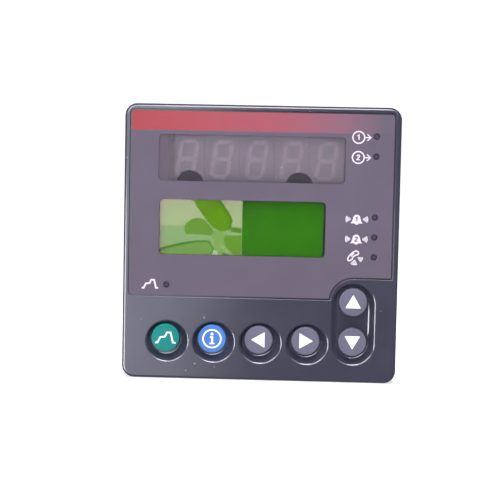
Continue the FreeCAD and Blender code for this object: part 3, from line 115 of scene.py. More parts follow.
class Paint:
    """One node-based material and the handles that the recipes below need."""

    def __init__(self, name):
        self.material = bpy.data.materials.new(name)
        self.material.use_nodes = True
        self.tree = self.material.node_tree
        self.shader = self.tree.nodes["Principled BSDF"]
        self.place = self.tree.nodes.new("ShaderNodeTexCoord").outputs["Object"]

    def set(self, **values):
        """Sets the shader's own sockets, whose spaces are written as underscores."""
        for name, value in values.items():
            self.shader.inputs[name.replace("_", " ")].default_value = value
        return self

    def node(self, kind, **values):
        """A new node with the values of its plain inputs."""
        made = self.tree.nodes.new(kind)
        for name, value in values.items():
            made.inputs[name.replace("_", " ")].default_value = value
        return made

    def join(self, source, target):
        """Links a node's output to a node's input."""
        self.tree.links.new(source, target)

    def noise(self, scale, detail=3.0, stretch=EVEN):
        """Cloudy noise; the scale is in features a metre."""
        shift = self.node("ShaderNodeMapping", Scale=stretch)
        self.join(self.place, shift.inputs["Vector"])
        made = self.node("ShaderNodeTexNoise", Scale=scale, Detail=detail)
        self.join(shift.outputs["Vector"], made.inputs["Vector"])
        return made.outputs["Fac"]

    def along(self, axis):
        """How far a point lies along the axis, in metres."""
        parts = self.node("ShaderNodeSeparateXYZ")
        self.join(self.place, parts.inputs[0])
        return parts.outputs[axis]

    def span(self, source, before=(0.0, 1.0), after=(0.0, 1.0), smooth=False):
        """Carries the source from one range over to another, and stops at its ends."""
        made = self.node("ShaderNodeMapRange")
        made.inputs["From Min"].default_value, made.inputs["From Max"].default_value = before
        made.inputs["To Min"].default_value, made.inputs["To Max"].default_value = after
        if smooth:
            made.interpolation_type = "SMOOTHSTEP"
        self.join(source, made.inputs["Value"])
        return made.outputs["Result"]

    def work_out(self, operation, first, second):
        """One value from a source and either a second source or a plain number."""
        made = self.node("ShaderNodeMath")
        made.operation = operation
        self.join(first, made.inputs[0])
        if isinstance(second, float):
            made.inputs[1].default_value = second
        else:
            self.join(second, made.inputs[1])
        return made.outputs[0]

    def mix(self, factor, first, second):
        """Runs from the first colour to the second as the factor rises; either may be a source."""
        made = self.node("ShaderNodeMix")
        made.data_type = "RGBA"
        self.join(factor, made.inputs["Factor"])
        for value, name in ((first, "A"), (second, "B")):
            socket = next(s for s in made.inputs if s.name == name and s.type == "RGBA")
            if isinstance(value, tuple):
                socket.default_value = (*value, 1.0)
            else:
                self.join(value, socket)
        return next(s for s in made.outputs if s.type == "RGBA")

    def ramp(self, source, low, high, first, second):
        """Blends two colours as the source runs from low to high."""
        return self.mix(self.span(source, before=(low, high)), first, second)

    def colour(self, source):
        """Takes the base colour from the source."""
        self.join(source, self.shader.inputs["Base Color"])
        return self

    def over(self, factor, colour):
        """Lays another colour over the base colour where the factor is one."""
        plain = self.shader.inputs["Base Color"].links[0].from_socket
        return self.colour(self.mix(factor, plain, colour))

    def rough(self, source, low, high):
        """Lets the roughness run from low to high with the source."""
        self.join(self.span(source, after=(low, high)), self.shader.inputs["Roughness"])
        return self

    def specks(self, scale, size, share):
        """Scattered round specks: so many places a metre, and the share of them that carries one."""
        cells = self.node("ShaderNodeTexVoronoi", Scale=scale)
        self.join(self.place, cells.inputs["Vector"])
        round_spots = self.work_out("LESS_THAN", cells.outputs["Distance"], size)
        chosen = self.work_out("LESS_THAN", cells.outputs["Color"], share)
        return self.work_out("MULTIPLY", round_spots, chosen)

    def bump(self, source, strength, distance):
        """Raises the surface a little with the source."""
        made = self.node("ShaderNodeBump", Strength=strength, Distance=distance)
        self.join(source, made.inputs["Height"])
        self.join(made.outputs["Normal"], self.shader.inputs["Normal"])
        return self


def shade(colour, factor):
    """The colour made lighter or darker."""
    return tuple(min(1.0, part * factor) for part in colour)


def moulded(name, colour, rough=(0.38, 0.5), grain=0.25, spread=0.12, shine=0.5):
    """Moulded plastic: a fine spark-eroded grain, faint clouds of colour and uneven gloss."""
    paint = Paint(name).set(Specular_IOR_Level=shine)
    darker, lighter = shade(colour, 1 - spread), shade(colour, 1 + spread)
    paint.colour(paint.ramp(paint.noise(PLASTIC_CLOUDS), *NOISE_RANGE, darker, lighter))
    paint.rough(paint.noise(PLASTIC_GLOSS), *rough)
    return paint.bump(paint.noise(PLASTIC_GRAIN, detail=2.0), grain, GRAIN_DEPTH * MM)


def key_plastic(name, colour):
    """The silky plastic of the keys, with little shine."""
    return moulded(name, colour, rough=(0.35, 0.45), grain=0.15, shine=0.15)


def ink(name, colour):
    """The even, half-glossy ink of the printed symbols."""
    return moulded(name, colour, rough=(0.4, 0.5), grain=0.1, spread=0.03)


def metal(name, colour, rough=(0.22, 0.4), stretch=EVEN):
    """Plated or rolled metal with fine streaks."""
    paint = Paint(name).set(Metallic=1.0)
    streaks = paint.noise(METAL_STREAKS, detail=4.0, stretch=stretch)
    paint.colour(paint.ramp(streaks, *NOISE_RANGE, shade(colour, 0.82), shade(colour, 1.1)))
    paint.rough(streaks, *rough)
    return paint.bump(streaks, 0.15, GRAIN_DEPTH * MM)


def solder_mask(name, colour, track_colour):
    """Solder mask with faint tracks under it."""
    paint = Paint(name)
    cells = paint.node("ShaderNodeTexVoronoi", Scale=BOARD_TRACKS)
    cells.distance = "CHEBYCHEV"
    paint.join(paint.place, cells.inputs["Vector"])
    tracks = cells.outputs["Distance"]
    paint.colour(paint.ramp(tracks, *TRACK_EDGE, colour, track_colour))
    paint.rough(paint.noise(BOARD_GLOSS), 0.25, 0.4)
    return paint.bump(tracks, 0.2, TRACK_DEPTH * MM)


def glass(name, tint, rough=0.012):
    """Clear acrylic with faint differences in gloss."""
    paint = Paint(name).set(Transmission_Weight=1.0, IOR=1.49)
    paint.colour(paint.ramp(paint.noise(GLASS_CLOUDS), 0.2, 0.8, shade(tint, 0.96), tint))
    return paint.rough(paint.noise(GLASS_GLOSS), rough * 0.7, rough * 1.3)


def dusty_window(name):
    """A thin tinted window with specks of dust and a printed border that fades out."""
    paint = moulded(name, WINDOW_TINT, rough=(0.2, 0.3), grain=0.05, spread=0.04, shine=0.1)
    dust = paint.specks(*WINDOW_DUST)
    border = paint.span(paint.along("X"), before=(BORDER_END * MM, BORDER_START * MM), smooth=True)
    cover = paint.work_out("MAXIMUM", paint.span(dust, after=(WINDOW_COVER, DUST_COVER)), border)
    paint.join(cover, paint.shader.inputs["Alpha"])
    return paint.over(dust, DUST_COLOUR).over(border, BORDER_INK)


def bezel_plastic(name):
    """The bezel's glossy plastic, with pale specks."""
    paint = moulded(name, FRONT, rough=(0.13, 0.17), grain=0.05, shine=0.9)
    return paint.over(paint.specks(*FRONT_SPECKS), SPECK_COLOUR)


def banded_film(name):
    """The facia's film, with the red band that fades out to the right across its top."""
    paint = moulded(name, FACIA, rough=(0.42, 0.55), grain=0.3, spread=0.05, shine=0.1)
    fade = paint.node("ShaderNodeValToRGB")
    paint.join(paint.span(paint.along("X"), before=(BAND_LEFT * MM, BAND_RIGHT * MM)), fade.inputs["Fac"])
    stops = fade.color_ramp.elements
    stops[0].color = (*BAND_RED, 1.0)
    stops[1].color = (*FACIA, 1.0)
    for position, colour in BAND_STOPS:
        stops.new(position).color = (*colour, 1.0)
    edge = ((BAND_FOOT - BAND_EDGE) * MM, (BAND_FOOT + BAND_EDGE) * MM)
    return paint.over(paint.span(paint.along("Z"), before=edge), fade.outputs["Color"])


def film_with_painted_reflection(name, low, high):
    """The cloudy film over the digits, painted lighter from its foot (low) to its top (high) as a painted
    reflection.
    """
    paint = Paint(name).set(Alpha=FILM_COVER, Roughness=0.6, Specular_IOR_Level=0.0)
    return paint.colour(paint.ramp(paint.along("Z"), low, high, FILM_FOOT, FILM_TOP_WITH_PAINTED_REFLECTION))


# One paint for each material slot of the record.
PAINTS = {
    "front_plastic": bezel_plastic("front_plastic"),
    "facia_film": banded_film("facia_film"),
    "tinted_window": dusty_window("tinted_window"),
    "clear_window": glass("clear_window", (0.97, 0.98, 0.97)),
    "board": solder_mask("board", (0.02, 0.16, 0.07), (0.035, 0.25, 0.11)),
}

MOULDED = {
    "digit_plastic": {"colour": (0.205, 0.172, 0.218), "rough": (0.5, 0.6), "grain": 0.0, "shine": 0.1},
    "light_bars": {"colour": (0.34, 0.276, 0.33), "rough": (0.4, 0.5), "grain": 0.0, "shine": 0.1},
    "black_plastic": {"colour": (0.026, 0.021, 0.033), "rough": (0.5, 0.6), "shine": 0.15},
    "lcd_cell": {
        "colour": (0.045, 0.275, 0.0015), "rough": (0.16, 0.2), "grain": 0.0, "spread": 0.03, "shine": 0.1,
    },
    "painted_steel": {"colour": (0.012, 0.012, 0.016), "rough": (0.3, 0.4), "grain": 0.1},
    "light_guide": {"colour": (0.75, 0.8, 0.65)},
    "lamp_plastic": {"colour": (0.05, 0.04, 0.062), "rough": (0.4, 0.5), "grain": 0.02, "shine": 0.15},
    "gasket_rubber": {"colour": (0.02, 0.02, 0.02), "rough": (0.75, 0.9), "grain": 0.5},
    "case_plastic": {"colour": (0.03, 0.03, 0.034), "rough": (0.45, 0.6), "grain": 0.5},
    "chip_plastic": {"colour": (0.02, 0.02, 0.022), "rough": (0.5, 0.6)},
    "winding_tape": {"colour": (0.6, 0.42, 0.06), "rough": (0.25, 0.35), "grain": 0.1},
    "capacitor_sleeve": {"colour": (0.02, 0.03, 0.09), "rough": (0.2, 0.3), "grain": 0.05},
    "relay_plastic": {"colour": (0.05, 0.05, 0.06), "rough": (0.3, 0.4)},
    "connector_plastic": {"colour": (0.7, 0.68, 0.6), "rough": (0.4, 0.5)},
    "terminal_plastic": {"colour": (0.03, 0.2, 0.08), "rough": (0.4, 0.5)},
}
KEYS = {
    "green_key": (0.006, 0.17, 0.158),
    "blue_key": (0.056, 0.155, 0.43),
    "grey_key": (0.107, 0.105, 0.155),
}
METALS = {
    "plated_pins": {"colour": (0.72, 0.7, 0.62)},
    "cell_steel": {"colour": (0.75, 0.75, 0.74)},
    "core_iron": {"colour": (0.2, 0.2, 0.22), "rough": (0.4, 0.6), "stretch": (8.0, 0.2, 0.2)},
    "screw_steel": {"colour": (0.62, 0.62, 0.62)},
}
PAINTS.update({slot: moulded(slot, **look) for slot, look in MOULDED.items()})
PAINTS.update({slot: key_plastic(slot, colour) for slot, colour in KEYS.items()})
PAINTS.update({slot: metal(slot, **look) for slot, look in METALS.items()})

KEY_INK = ink("white_ink", (0.86, 0.85, 0.87))
FACIA_INK = ink("facia_ink", (0.56, 0.5, 0.575))
FAINT_INK = ink("faint_ink", (0.55, 0.52, 0.58))


def dress_cad_nodes():
    """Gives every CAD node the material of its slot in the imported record."""
    for row in frame["record"]["subparts"]:
        node = frame["nodes"][row["node"]]
        paint = PAINTS[row["material_slot"]].material
        node.data.materials.clear()
        node.data.materials.append(paint)


# ---- meshes and lines -----------------------------------------------------------------------


def make_object(name, mesh, paint):
    """Puts a finished mesh into the scene under its paint."""
    data = bpy.data.meshes.new(name)
    mesh.to_mesh(data)
    mesh.free()
    data.materials.append(paint.material)
    made = bpy.data.objects.new(name, data)
    bpy.context.scene.collection.objects.link(made)
    return made


def ring(radius, count=40):
    """Points on a whole circle."""
    angles = [math.tau * i / count for i in range(count)]
    return [(radius * math.cos(angle), radius * math.sin(angle)) for angle in angles]


def arc(radius, start, stop, count=10):
    """Points on an arc between two angles in degrees."""
    angles = [math.radians(start + (stop - start) * i / count) for i in range(count + 1)]
    return [(radius * math.cos(angle), radius * math.sin(angle)) for angle in angles]


def moved(points, x=0.0, z=0.0, turn=0.0, scale=1.0):
    """The points scaled, turned by so many degrees and then shifted."""
    cosine = math.cos(math.radians(turn)) * scale
    sine = math.sin(math.radians(turn)) * scale
    return [(x + cosine * a - sine * b, z + sine * a + cosine * b) for a, b in points]


def ribbon(points, width, closed=False):
    """The two sides of a line of even width, mitred at its corners."""
    count = len(points)
    left, right = [], []
    for i, (x, z) in enumerate(points):
        before = points[i - 1] if closed or i > 0 else points[i]
        after = points[(i + 1) % count] if closed or i < count - 1 else points[i]
        one = Vector((x - before[0], z - before[1]))
        two = Vector((after[0] - x, after[1] - z))
        one = one.normalized() if one.length > 0 else two.normalized()
        two = two.normalized() if two.length > 0 else one
        along = (one + two).normalized()
        side = Vector((-along.y, along.x)) * (width / 2 / max(0.5, along.dot(one)))
        left.append((x + side.x, z + side.y))
        right.append((x - side.x, z - side.y))
    return left, right


class Print:
    """A thin flat layer, such as ink on a front face, made of strips and filled outlines.

    Its middle (x, z), its back and its thickness are in metres. Its strips and outlines are in
    millimetres across and up, about that middle.
    """

    def __init__(self, name, body, x, back, z, thickness):
        self.name, self.body = name, body
        self.x, self.z = x, z
        self.depths = (back - thickness, back)
        self.mesh = bmesh.new()

    def rims(self, points):
        """The points on the layer's front and again on its back."""
        places = [(self.x + a * MM, self.z + b * MM) for a, b in points]
        return [[self.mesh.verts.new((x, y, z)) for x, z in places] for y in self.depths]

    def prism(self, outline):
        """One filled outline."""
        near, far = self.rims(outline)
        self.mesh.faces.new(near)
        self.mesh.faces.new(far[::-1])
        for i in range(len(outline)):
            j = (i + 1) % len(outline)
            self.mesh.faces.new((near[j], near[i], far[i], far[j]))
        return self

    def strip(self, points, width, closed=False):
        """One band along the points, with walls on its outside only."""
        left, right = ribbon(points, width, closed)
        near_left, far_left = self.rims(left)
        near_right, far_right = self.rims(right)
        around = (near_left, near_right, far_right, far_left)
        count = len(points)
        for i in range(count if closed else count - 1):
            j = (i + 1) % count
            for one, other in zip(around, around[1:] + around[:1]):
                self.mesh.faces.new((one[i], one[j], other[j], other[i]))
        if not closed:
            for end in (0, -1):
                self.mesh.faces.new([band[end] for band in around])
        return self

    def done(self, paint):
        """Makes the piece; a union with nothing else joins its strips and outlines into one skin."""
        bmesh.ops.recalc_face_normals(self.mesh, faces=self.mesh.faces)
        piece = make_object(self.name, self.mesh, paint)
        union = piece.modifiers.new("union", "BOOLEAN")
        union.operation = "UNION"
        union.operand_type = "COLLECTION"
        union.solver = "EXACT"
        union.use_self = True
        joined = piece.evaluated_get(bpy.context.evaluated_depsgraph_get())
        data = bpy.data.meshes.new_from_object(joined)
        piece.modifiers.clear()
        piece.data = data
        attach(piece, self.body)


def middle(node):
    """The middle of a node's box at rest."""
    low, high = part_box(node)
    return (Vector(low) + Vector(high)) / 2


# ---- printed symbols ------------------------------------------------------------------------

# Symbols are in millimetres, about their own middles. Each line has its own width. The ink
# stands this far proud of what carries it, and the tops of the keys are dished.
INK = 0.02
KEY_DISH = 0.06

# On the keys: arrows, a temperature profile (rise, hold, rise, hold, fall) and an i in a ring.
ARROW = [(-2.7, 0.0), (2.15, 2.8), (2.15, -2.8)]
ARROW_TURNS = {"left": 0, "down": 90, "right": 180, "up": -90}
PROFILE = [(-3.0, -1.5), (-2.3, -1.5), (-1.5, 0.1), (-0.1, 0.3)]
PROFILE += [(0.4, 1.5), (1.5, 1.5), (2.2, -1.4), (3.0, -1.5)]
KEY_PROFILE_SCALE, KEY_PROFILE_WIDTH = 1.25, 0.54
INFO_RING, INFO_RING_WIDTH = ring(3.25), 0.5
INFO_STEM, INFO_STEM_WIDTH = [(-0.7, 0.55), (0.1, 0.55), (0.1, -1.75)], 0.66
INFO_FOOT, INFO_FOOT_WIDTH = [(-0.85, -1.75), (0.95, -1.75)], 0.5
INFO_DOT = moved(ring(0.52, count=16), z=1.7)

# Beside the lamps. The lamps' radius gives their middles, each lamp of the right-hand column is
# so far below the first, and each symbol stands a little left of its lamp and below it.
LAMP_RADIUS = 1.45
OUTPUT_DROPS, ALARM_DROPS, LINE_DROP = (0.0, 7.2), (29.1, 36.3), 43.8
SYMBOL_LEFT, SYMBOL_DROP = 6.5, 0.4
ONE = [(-0.45, 0.45), (0.1, 0.85), (0.1, -0.85)]
TWO = [(-0.5, 0.45), (-0.25, 0.8), (0.25, 0.8), (0.5, 0.4), (-0.5, -0.8), (0.55, -0.8)]
NUMBERS, NUMBER_WIDTH = (ONE, TWO), 0.42

# An output's number stands in a ring with an arrow to the lamp.
OUTPUT_RING, OUTPUT_RING_WIDTH = ring(2.12), 0.46
SHAFT, SHAFT_WIDTH = [(2.1, 0.0), (4.1, 0.0)], 0.4
POINT, POINT_WIDTH = [(3.1, 1.15), (4.4, 0.0), (3.1, -1.15)], 0.38

# An alarm's number stands on a filled bell. Waves spread on both sides of it from these places,
# between these angles.
BELL = [(-2.25, -1.85), (-1.75, -1.35), (-1.4, -0.3)]
BELL += arc(1.3, 180, 0, count=14)
BELL += [(1.4, -0.3), (1.75, -1.35), (2.25, -1.85)]
CLAPPER = moved(arc(0.75, 180, 360, count=8), z=-1.6)
ALARM_NUMBER_DROP, ALARM_NUMBER_SCALE = 0.35, 0.9
WAVES, WAVE_WIDTH = (0.6, 1.1, 1.6, 2.1), 0.34
BELL_WAVES = ((-1.75, -0.35, 148, 212), (1.85, -0.35, -32, 32))

# The line's symbol is a handset's outline with the light middle of its grip and two fans of
# waves. Its points are counted from just left of the lamp.
HANDSET = [(-9.2, -0.55), (-8.9, 0.3), (-8.2, 1.2), (-7.1, 2.15), (-6.2, 2.5), (-5.55, 2.2), (-5.25, 1.7)]
HANDSET += [(-5.6, 1.15), (-6.4, 0.95), (-7.3, 0.25), (-7.6, -0.55), (-8.45, -1.15), (-9.0, -1.0)]
HANDSET_WIDTH = 0.5
GRIP, GRIP_WIDTH = [(-7.95, 0.5), (-7.5, 1.15), (-6.95, 1.6)], 0.45
LINE_LEFT = 0.2
LINE_WAVES = ((-5.9, 0.35, -58, -2), (-6.7, -0.4, -130, -62))

# The profile stands beside the lamp at the lower left.
PROFILE_LEFT, PROFILE_RISE, PROFILE_WIDTH = 6.0, 0.1, 0.6


def key_print(key):
    """A print in the middle of a key's dish."""
    place = middle(f"key_{key}")
    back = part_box(f"key_{key}")[0][1] + KEY_DISH * MM
    return Print(f"print_{key}", f"{key}_key", place.x, back, place.z, INK * MM)


def facia_print(name, x, z, layer=0):
    """A print on the facia, at a place in millimetres; layer 1 lies on layer 0."""
    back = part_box("front_overlay")[0][1] - layer * INK * MM
    return Print(name, "housing", x * MM, back, z * MM, INK * MM)


def print_keys():
    """The symbols on the six keys."""
    for key, turn in ARROW_TURNS.items():
        key_print(key).prism(moved(ARROW, turn=turn)).done(KEY_INK)
    key_print("program").strip(moved(PROFILE, scale=KEY_PROFILE_SCALE), KEY_PROFILE_WIDTH).done(KEY_INK)
    made = key_print("info")
    made.strip(INFO_RING, INFO_RING_WIDTH, closed=True)
    made.strip(INFO_STEM, INFO_STEM_WIDTH)
    made.strip(INFO_FOOT, INFO_FOOT_WIDTH)
    made.prism(INFO_DOT).done(KEY_INK)


def print_waves(name, x, z, fans):
    """Fans of arcs, each from one point and between two angles."""
    made = facia_print(name, x, z)
    for across, up, start, stop in fans:
        for radius in WAVES:
            made.strip(moved(arc(radius, start, stop, count=6), x=across, z=up), WAVE_WIDTH)
    made.done(FAINT_INK)


def print_output(number, digit, x, z):
    """A number in a ring, and an arrow from it."""
    made = facia_print(f"print_output_{number}", x, z)
    made.strip(OUTPUT_RING, OUTPUT_RING_WIDTH, closed=True)
    made.strip(SHAFT, SHAFT_WIDTH)
    made.strip(POINT, POINT_WIDTH)
    made.strip(digit, NUMBER_WIDTH).done(FACIA_INK)


def print_alarm(number, digit, x, z):
    """A bell with a number on it, and waves beside it."""
    facia_print(f"print_alarm_{number}", x, z).prism(BELL).prism(CLAPPER).done(FACIA_INK)
    small = moved(digit, z=-ALARM_NUMBER_DROP, scale=ALARM_NUMBER_SCALE)
    made = facia_print(f"print_alarm_number_{number}", x, z, layer=1)
    made.strip(small, NUMBER_WIDTH).done(PAINTS["facia_film"])
    print_waves(f"print_alarm_waves_{number}", x, z, BELL_WAVES)


def print_line(x, z):
    """A handset and the waves beside it."""
    made = facia_print("print_line", x, z)
    made.strip(HANDSET, HANDSET_WIDTH, closed=True)
    made.strip(GRIP, GRIP_WIDTH).done(FACIA_INK)
    print_waves("print_line_waves", x, z, LINE_WAVES)


def print_facia():
    """The symbols beside the lamps, whose node gives their places."""
    low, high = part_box("indicator_lamps")
    left, column = low[0] / MM + LAMP_RADIUS, high[0] / MM - LAMP_RADIUS
    foot, top = low[2] / MM + LAMP_RADIUS, high[2] / MM - LAMP_RADIUS
    for drops, draw in ((OUTPUT_DROPS, print_output), (ALARM_DROPS, print_alarm)):
        for number, (drop, digit) in enumerate(zip(drops, NUMBERS), 1):
            draw(number, digit, column - SYMBOL_LEFT, top - drop - SYMBOL_DROP)
    print_line(column - LINE_LEFT, top - LINE_DROP)
    made = facia_print("print_profile", left - PROFILE_LEFT, foot + PROFILE_RISE)
    made.strip(PROFILE, PROFILE_WIDTH).done(FACIA_INK)


def add_filter():
    """The tinted film before the digits, notched round the holder's two tabs."""
    place = middle("led_digits")
    low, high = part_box("led_digits")
    foot, top = (low[2] - place.z) / MM, (high[2] - place.z) / MM
    window_low, window_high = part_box("led_window")
    left, right = (window_low[0] - place.x) / MM, (window_high[0] - place.x) / MM
    outline = [(left, foot)]
    for x in NOTCHES:
        outline.append((x - NOTCH_RADIUS, foot))
        outline += moved(arc(NOTCH_RADIUS, 180, 0, count=24), x=x, z=NOTCH_MIDDLE)
        outline.append((x + NOTCH_RADIUS, foot))
    outline += [(right, foot), (right, top), (left, top)]
    back = window_high[1] + (FILM_GAP + FILM) * MM
    made = Print("digit_filter", "housing", place.x, back, place.z, FILM * MM)
    made.prism(outline).done(film_with_painted_reflection("filter_film", low[2], high[2]))


# ---- stage, light and camera ----------------------------------------------------------------

# The floor: how far under the object it lies (in millimetres), how far it reaches to the front,
# to the back and to each side, the bend by which it goes up into its back wall, and its paper.
FLOOR_GAP = 0.3
FLOOR_FRONT, FLOOR_BACK, FLOOR_SIDE = -1.6, 0.9, 2.5
FLOOR_BEND, BEND_STEPS, WALL_TOP = 0.5, 12, 2.2
FLOOR_GREYS, FLOOR_CLOUDS, FLOOR_GLOW = (0.93, 0.95), 3.0, 0.6

# The white shell that stands round everything, and the weak light that comes from all round.
BACKDROP_RADIUS, BACKDROP_GLOW = 4.0, 0.95
SKY_LIGHT, SKY_STRENGTH = (0.95, 0.97, 1.0, 1.0), 0.1

# The lights: place, size, brightness, colour, the point each faces, and whether gloss mirrors it.
LIGHTS = {
    "window_left": ((-0.556, -0.89, -0.21), (0.66, 0.38), 11.5, WHITE, (0.0, 0.0, -0.21), True),
    "wall_left": ((-0.5, -1.2, -0.125), (0.8, 0.95), 1.75, (0.93, 0.93, 1.05), (-0.5, 0.0, -0.125), True),
    "soft_top": ((0.05, -0.45, 0.75), (0.25, 0.8), 15.0, WHITE, (0.05, -0.45, 0.0), False),
    "lamp_above": ((-0.3, -0.95, 0.3), (0.6, 0.34), 7.0, WHITE, (0.0, 0.0, 0.0), True),
}

# What the glass over the lower display mirrors, as glows and outlines in millimetres on the glass
# itself. The cards stand this far before the panel, and an earlier leaf stands before a later one.
SKY_DEPTH, LEAF_DEPTH, LEAF_STEP = -705.0, -685.0, 1.0
SKY_GLOW, SKY = (5.0, 4.2, 3.5), [(-39, 6), (-6.9, 6), (-6.9, 17), (-39, 17)]
HEDGE_GLOW, HEDGE = (3.2, 3.2, 2.4), [(-39, -6.2), (-6.9, -6.2), (-6.9, 6), (-39, 6)]
LEAVES = (
    ((3.6, 3.2, 2.4), [(-17.4, 5.1), (-16.3, 5.1), (-16.2, 4.2), (-17.3, 4.1)]),
    ((5.5, 5.2, 4.6), [(-17.2, -3.0), (-16.1, -2.8), (-15.4, -3.7), (-16.2, -4.6), (-17.3, -4.2)]),
    ((3.9, 3.6, 2.4), [(-14.4, -1.0), (-13.5, -1.0), (-13.4, -2.1), (-14.3, -2.3)]),
    ((1.15, 1.55, 0.1), [
        (-26.3, 17), (-24.5, 14.7), (-22.7, 12.1), (-20.6, 9.1), (-18.4, 6.1), (-16.3, 4.6), (-13, 4.2),
        (-11.6, 6.1), (-11.2, 8.3), (-12.3, 10.6), (-14.1, 12.8), (-15.5, 15.1), (-16.3, 17),
    ]),
    ((0.5, 0.5, 0.1), [
        (-16.5, 17), (-15.2, 17), (-14.4, 15.1), (-13.1, 12.8), (-11.3, 10.8), (-10.4, 8.3), (-10.9, 5.4),
        (-12.3, 4.4),
    ]),
    ((1.5, 1.6, 0.5), [
        (-28.1, 4.6), (-27.4, 6.8), (-25.3, 8.5), (-22.7, 8.9), (-20.6, 8.3), (-18.8, 6.4), (-17, 3.8),
        (-18.4, 2.3), (-20.6, 2.7), (-23.5, 2.9), (-27.4, 2.9),
    ]),
    ((1.9, 2.1, 1.0), [
        (-38.0, -4.6), (-36.8, -3.4), (-33.5, -2.3), (-28.9, -1.1), (-24.5, -0.2),
        (-20.6, 0.2), (-18.9, -0.1), (-17.5, -2.2), (-17.8, -3.7), (-19.1, -4.2),
        (-22.7, -4.9), (-26.3, -5.2), (-31.7, -5.3), (-36.4, -5.2),
    ]),
    ((0.5, 0.4, 0.4), [
        (-38.9, -4.4), (-36.8, -2.5), (-33.5, -1.4), (-28.9, -0.3), (-24.5, 0.6),
        (-20.6, 0.8), (-18.4, 0.5), (-17.0, -2.2), (-17.3, -3.9), (-19.1, -4.6),
        (-22.7, -5.4), (-26.3, -5.8), (-36.4, -5.8), (-38.6, -5.4),
    ]),
    ((1.4, 1.5, 0.4), [(-13, 2.7), (-7.1, 2.7), (-7.1, -3.7), (-9.8, -4.2), (-12.3, -2.2), (-13.4, 0.8)]),
    ((0.6, 0.5, 0.1), [(-14.3, -3.3), (-10.9, -4.4), (-7.1, -3.9), (-7.1, -6.1), (-13.4, -5.5)]),
    ((0.9, 0.8, 0.3), [(-11.2, 5.8), (-7.1, 5.3), (-7.1, 3.6), (-11.2, 4.2)]),
    ((2.6, 2.7, 1.3), [
        (-17.8, 3.9), (-13.6, 4.1), (-12.6, 2.2), (-12.6, -2.4), (-14.6, -4.4), (-18.2, -4.8),
        (-17.2, -0.8),
    ]),
)

# What the glossy bezel mirrors from above, in metres: each card's left side, right side and glow,
# and the place of its lower and of its upper edge, to the front and up.
ABOVE = ((-0.75, -0.13, 4.0), (-0.13, 0.22, 14.0), (0.22, 0.6, 3.0))
ABOVE_LOW, ABOVE_HIGH = (-1.0, 0.35), (-0.65, 0.7)


def add_stage():
    """A pale floor that curves up into a wall behind the object; gloss and glass don't mirror it."""
    low = CAD_BOX[0].z - FLOOR_GAP * MM
    profile = [(FLOOR_FRONT, 0.0), (FLOOR_BACK, 0.0)]
    for step in range(1, BEND_STEPS + 1):
        angle = math.radians(90 * step / BEND_STEPS)
        profile.append((FLOOR_BACK + FLOOR_BEND * math.sin(angle), FLOOR_BEND * (1 - math.cos(angle))))
    profile.append((FLOOR_BACK + FLOOR_BEND, WALL_TOP))
    mesh = bmesh.new()
    left, right = [[mesh.verts.new((x, y, low + z)) for y, z in profile] for x in (-FLOOR_SIDE, FLOOR_SIDE)]
    for i in range(len(profile) - 1):
        mesh.faces.new((left[i], right[i], right[i + 1], left[i + 1])).smooth = True
    paint = Paint("studio_paper").set(Specular_IOR_Level=0.0, Roughness=0.9)
    darker, lighter = (shade(WHITE, grey) for grey in FLOOR_GREYS)
    paint.colour(paint.ramp(paint.noise(FLOOR_CLOUDS), *NOISE_RANGE, darker, lighter))
    paint.set(Emission_Color=(*WHITE, 1.0), Emission_Strength=FLOOR_GLOW)
    floor = make_object("studio_floor", mesh, paint)
    floor.visible_glossy = floor.visible_transmission = False


def glow(name, colour, strength):
    """A paint that only shines."""
    paint = Paint(name).set(Base_Color=(*BLACK, 1.0), Specular_IOR_Level=0.0)
    return paint.set(Emission_Color=(*colour, 1.0), Emission_Strength=strength)


def add_backdrop():
    """A white shell all round, which only the camera sees, so that every view has a pale background."""
    mesh = bmesh.new()
    bmesh.ops.create_uvsphere(mesh, u_segments=32, v_segments=16, radius=BACKDROP_RADIUS)
    paint = glow("studio_white", WHITE, BACKDROP_GLOW)
    paint.material.cycles.emission_sampling = "NONE"
    shell = make_object("studio_backdrop", mesh, paint)
    shell.visible_diffuse = shell.visible_glossy = shell.visible_transmission = shell.visible_shadow = False


def add_light(name, place, size, radiance, colour, aim, mirrored_in_gloss):
    """A rectangular soft light of that brightness, which faces the point that it is aimed at."""
    lamp = bpy.data.lights.new(name, "AREA")
    lamp.shape = "RECTANGLE"
    lamp.size, lamp.size_y = size
    lamp.energy = radiance * math.pi * size[0] * size[1]
    lamp.color = colour
    made = bpy.data.objects.new(name, lamp)
    made.location = place
    made.rotation_euler = (Vector(aim) - Vector(place)).to_track_quat("-Z", "Y").to_euler()
    made.visible_glossy = mirrored_in_gloss
    bpy.context.scene.collection.objects.link(made)


def add_card(name, corners, colour, through_glass=True):
    """A glowing card that shows only in what mirrors it, and perhaps through the glass before that."""
    mesh = bmesh.new()
    mesh.faces.new([mesh.verts.new(corner) for corner in corners])
    paint = glow(name, colour, 1.0)
    card = make_object(name, mesh, paint)
    card.visible_camera = card.visible_diffuse = card.visible_shadow = False
    if not through_glass:
        card.visible_transmission = False
        paint.material.cycles.emission_sampling = "NONE"


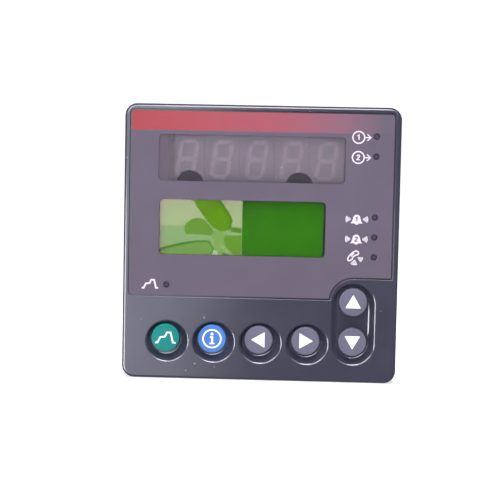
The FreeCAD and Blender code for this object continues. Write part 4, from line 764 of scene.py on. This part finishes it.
def mirrored(depth, outline):
    """Where the camera sees that outline in the lower glass, as corners on a plane before the object."""
    glass_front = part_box("lcd_window")[0][1] / MM
    eye_x, eye_y, eye_z = CAMERA_PLACE
    reach = (glass_front - depth) / (glass_front - eye_y)
    return [((x + reach * (x - eye_x)) * MM, depth * MM, (z + reach * (z - eye_z)) * MM) for x, z in outline]


def add_reflections():
    """A bright sky over a darker hedge, a plant's leaves before them, and the light from above."""
    add_card("mirrored_sky", mirrored(SKY_DEPTH, SKY), SKY_GLOW)
    add_card("mirrored_hedge", mirrored(SKY_DEPTH, HEDGE), HEDGE_GLOW)
    for number, (colour, outline) in enumerate(LEAVES, 1):
        add_card(f"mirrored_leaf_{number}", mirrored(LEAF_DEPTH - number * LEAF_STEP, outline), colour)
    for number, (left, right, brightness) in enumerate(ABOVE, 1):
        corners = [(left, *ABOVE_LOW), (right, *ABOVE_LOW), (right, *ABOVE_HIGH), (left, *ABOVE_HIGH)]
        add_card(f"mirrored_above_{number}", corners, (brightness,) * 3, through_glass=False)


def add_camera():
    """Places the camera and makes it the scene's own."""
    data = bpy.data.cameras.new("camera")
    data.lens = CAMERA_LENS
    data.sensor_width = SENSOR
    data.clip_start = NEAREST_SEEN * MM
    camera = bpy.data.objects.new("camera", data)
    turn_x, turn_y, turn_z = (math.radians(angle) for angle in CAMERA_TURN)
    level = Matrix(((1, 0, 0), (0, 0, 1), (0, -1, 0)))
    turned = Matrix.Rotation(turn_z, 3, "Z") @ Matrix.Rotation(turn_y, 3, "Y")
    rows = turned @ Matrix.Rotation(turn_x, 3, "X") @ level
    place = Matrix.Translation([part * MM for part in CAMERA_PLACE])
    camera.matrix_world = place @ rows.transposed().to_4x4()
    bpy.context.scene.collection.objects.link(camera)
    bpy.context.scene.camera = camera


def add_world():
    """A weak, slightly blue light from all round."""
    world = bpy.data.worlds.new("studio")
    world.use_nodes = True
    background = world.node_tree.nodes["Background"]
    background.inputs["Color"].default_value = SKY_LIGHT
    background.inputs["Strength"].default_value = SKY_STRENGTH
    bpy.context.scene.world = world


dress_cad_nodes()
print_keys()
print_facia()
add_filter()
add_stage()
add_backdrop()
add_world()
for light, settings in LIGHTS.items():
    add_light(light, *settings)
add_reflections()
add_camera()
bpy.context.scene.view_settings.view_transform = "Standard"
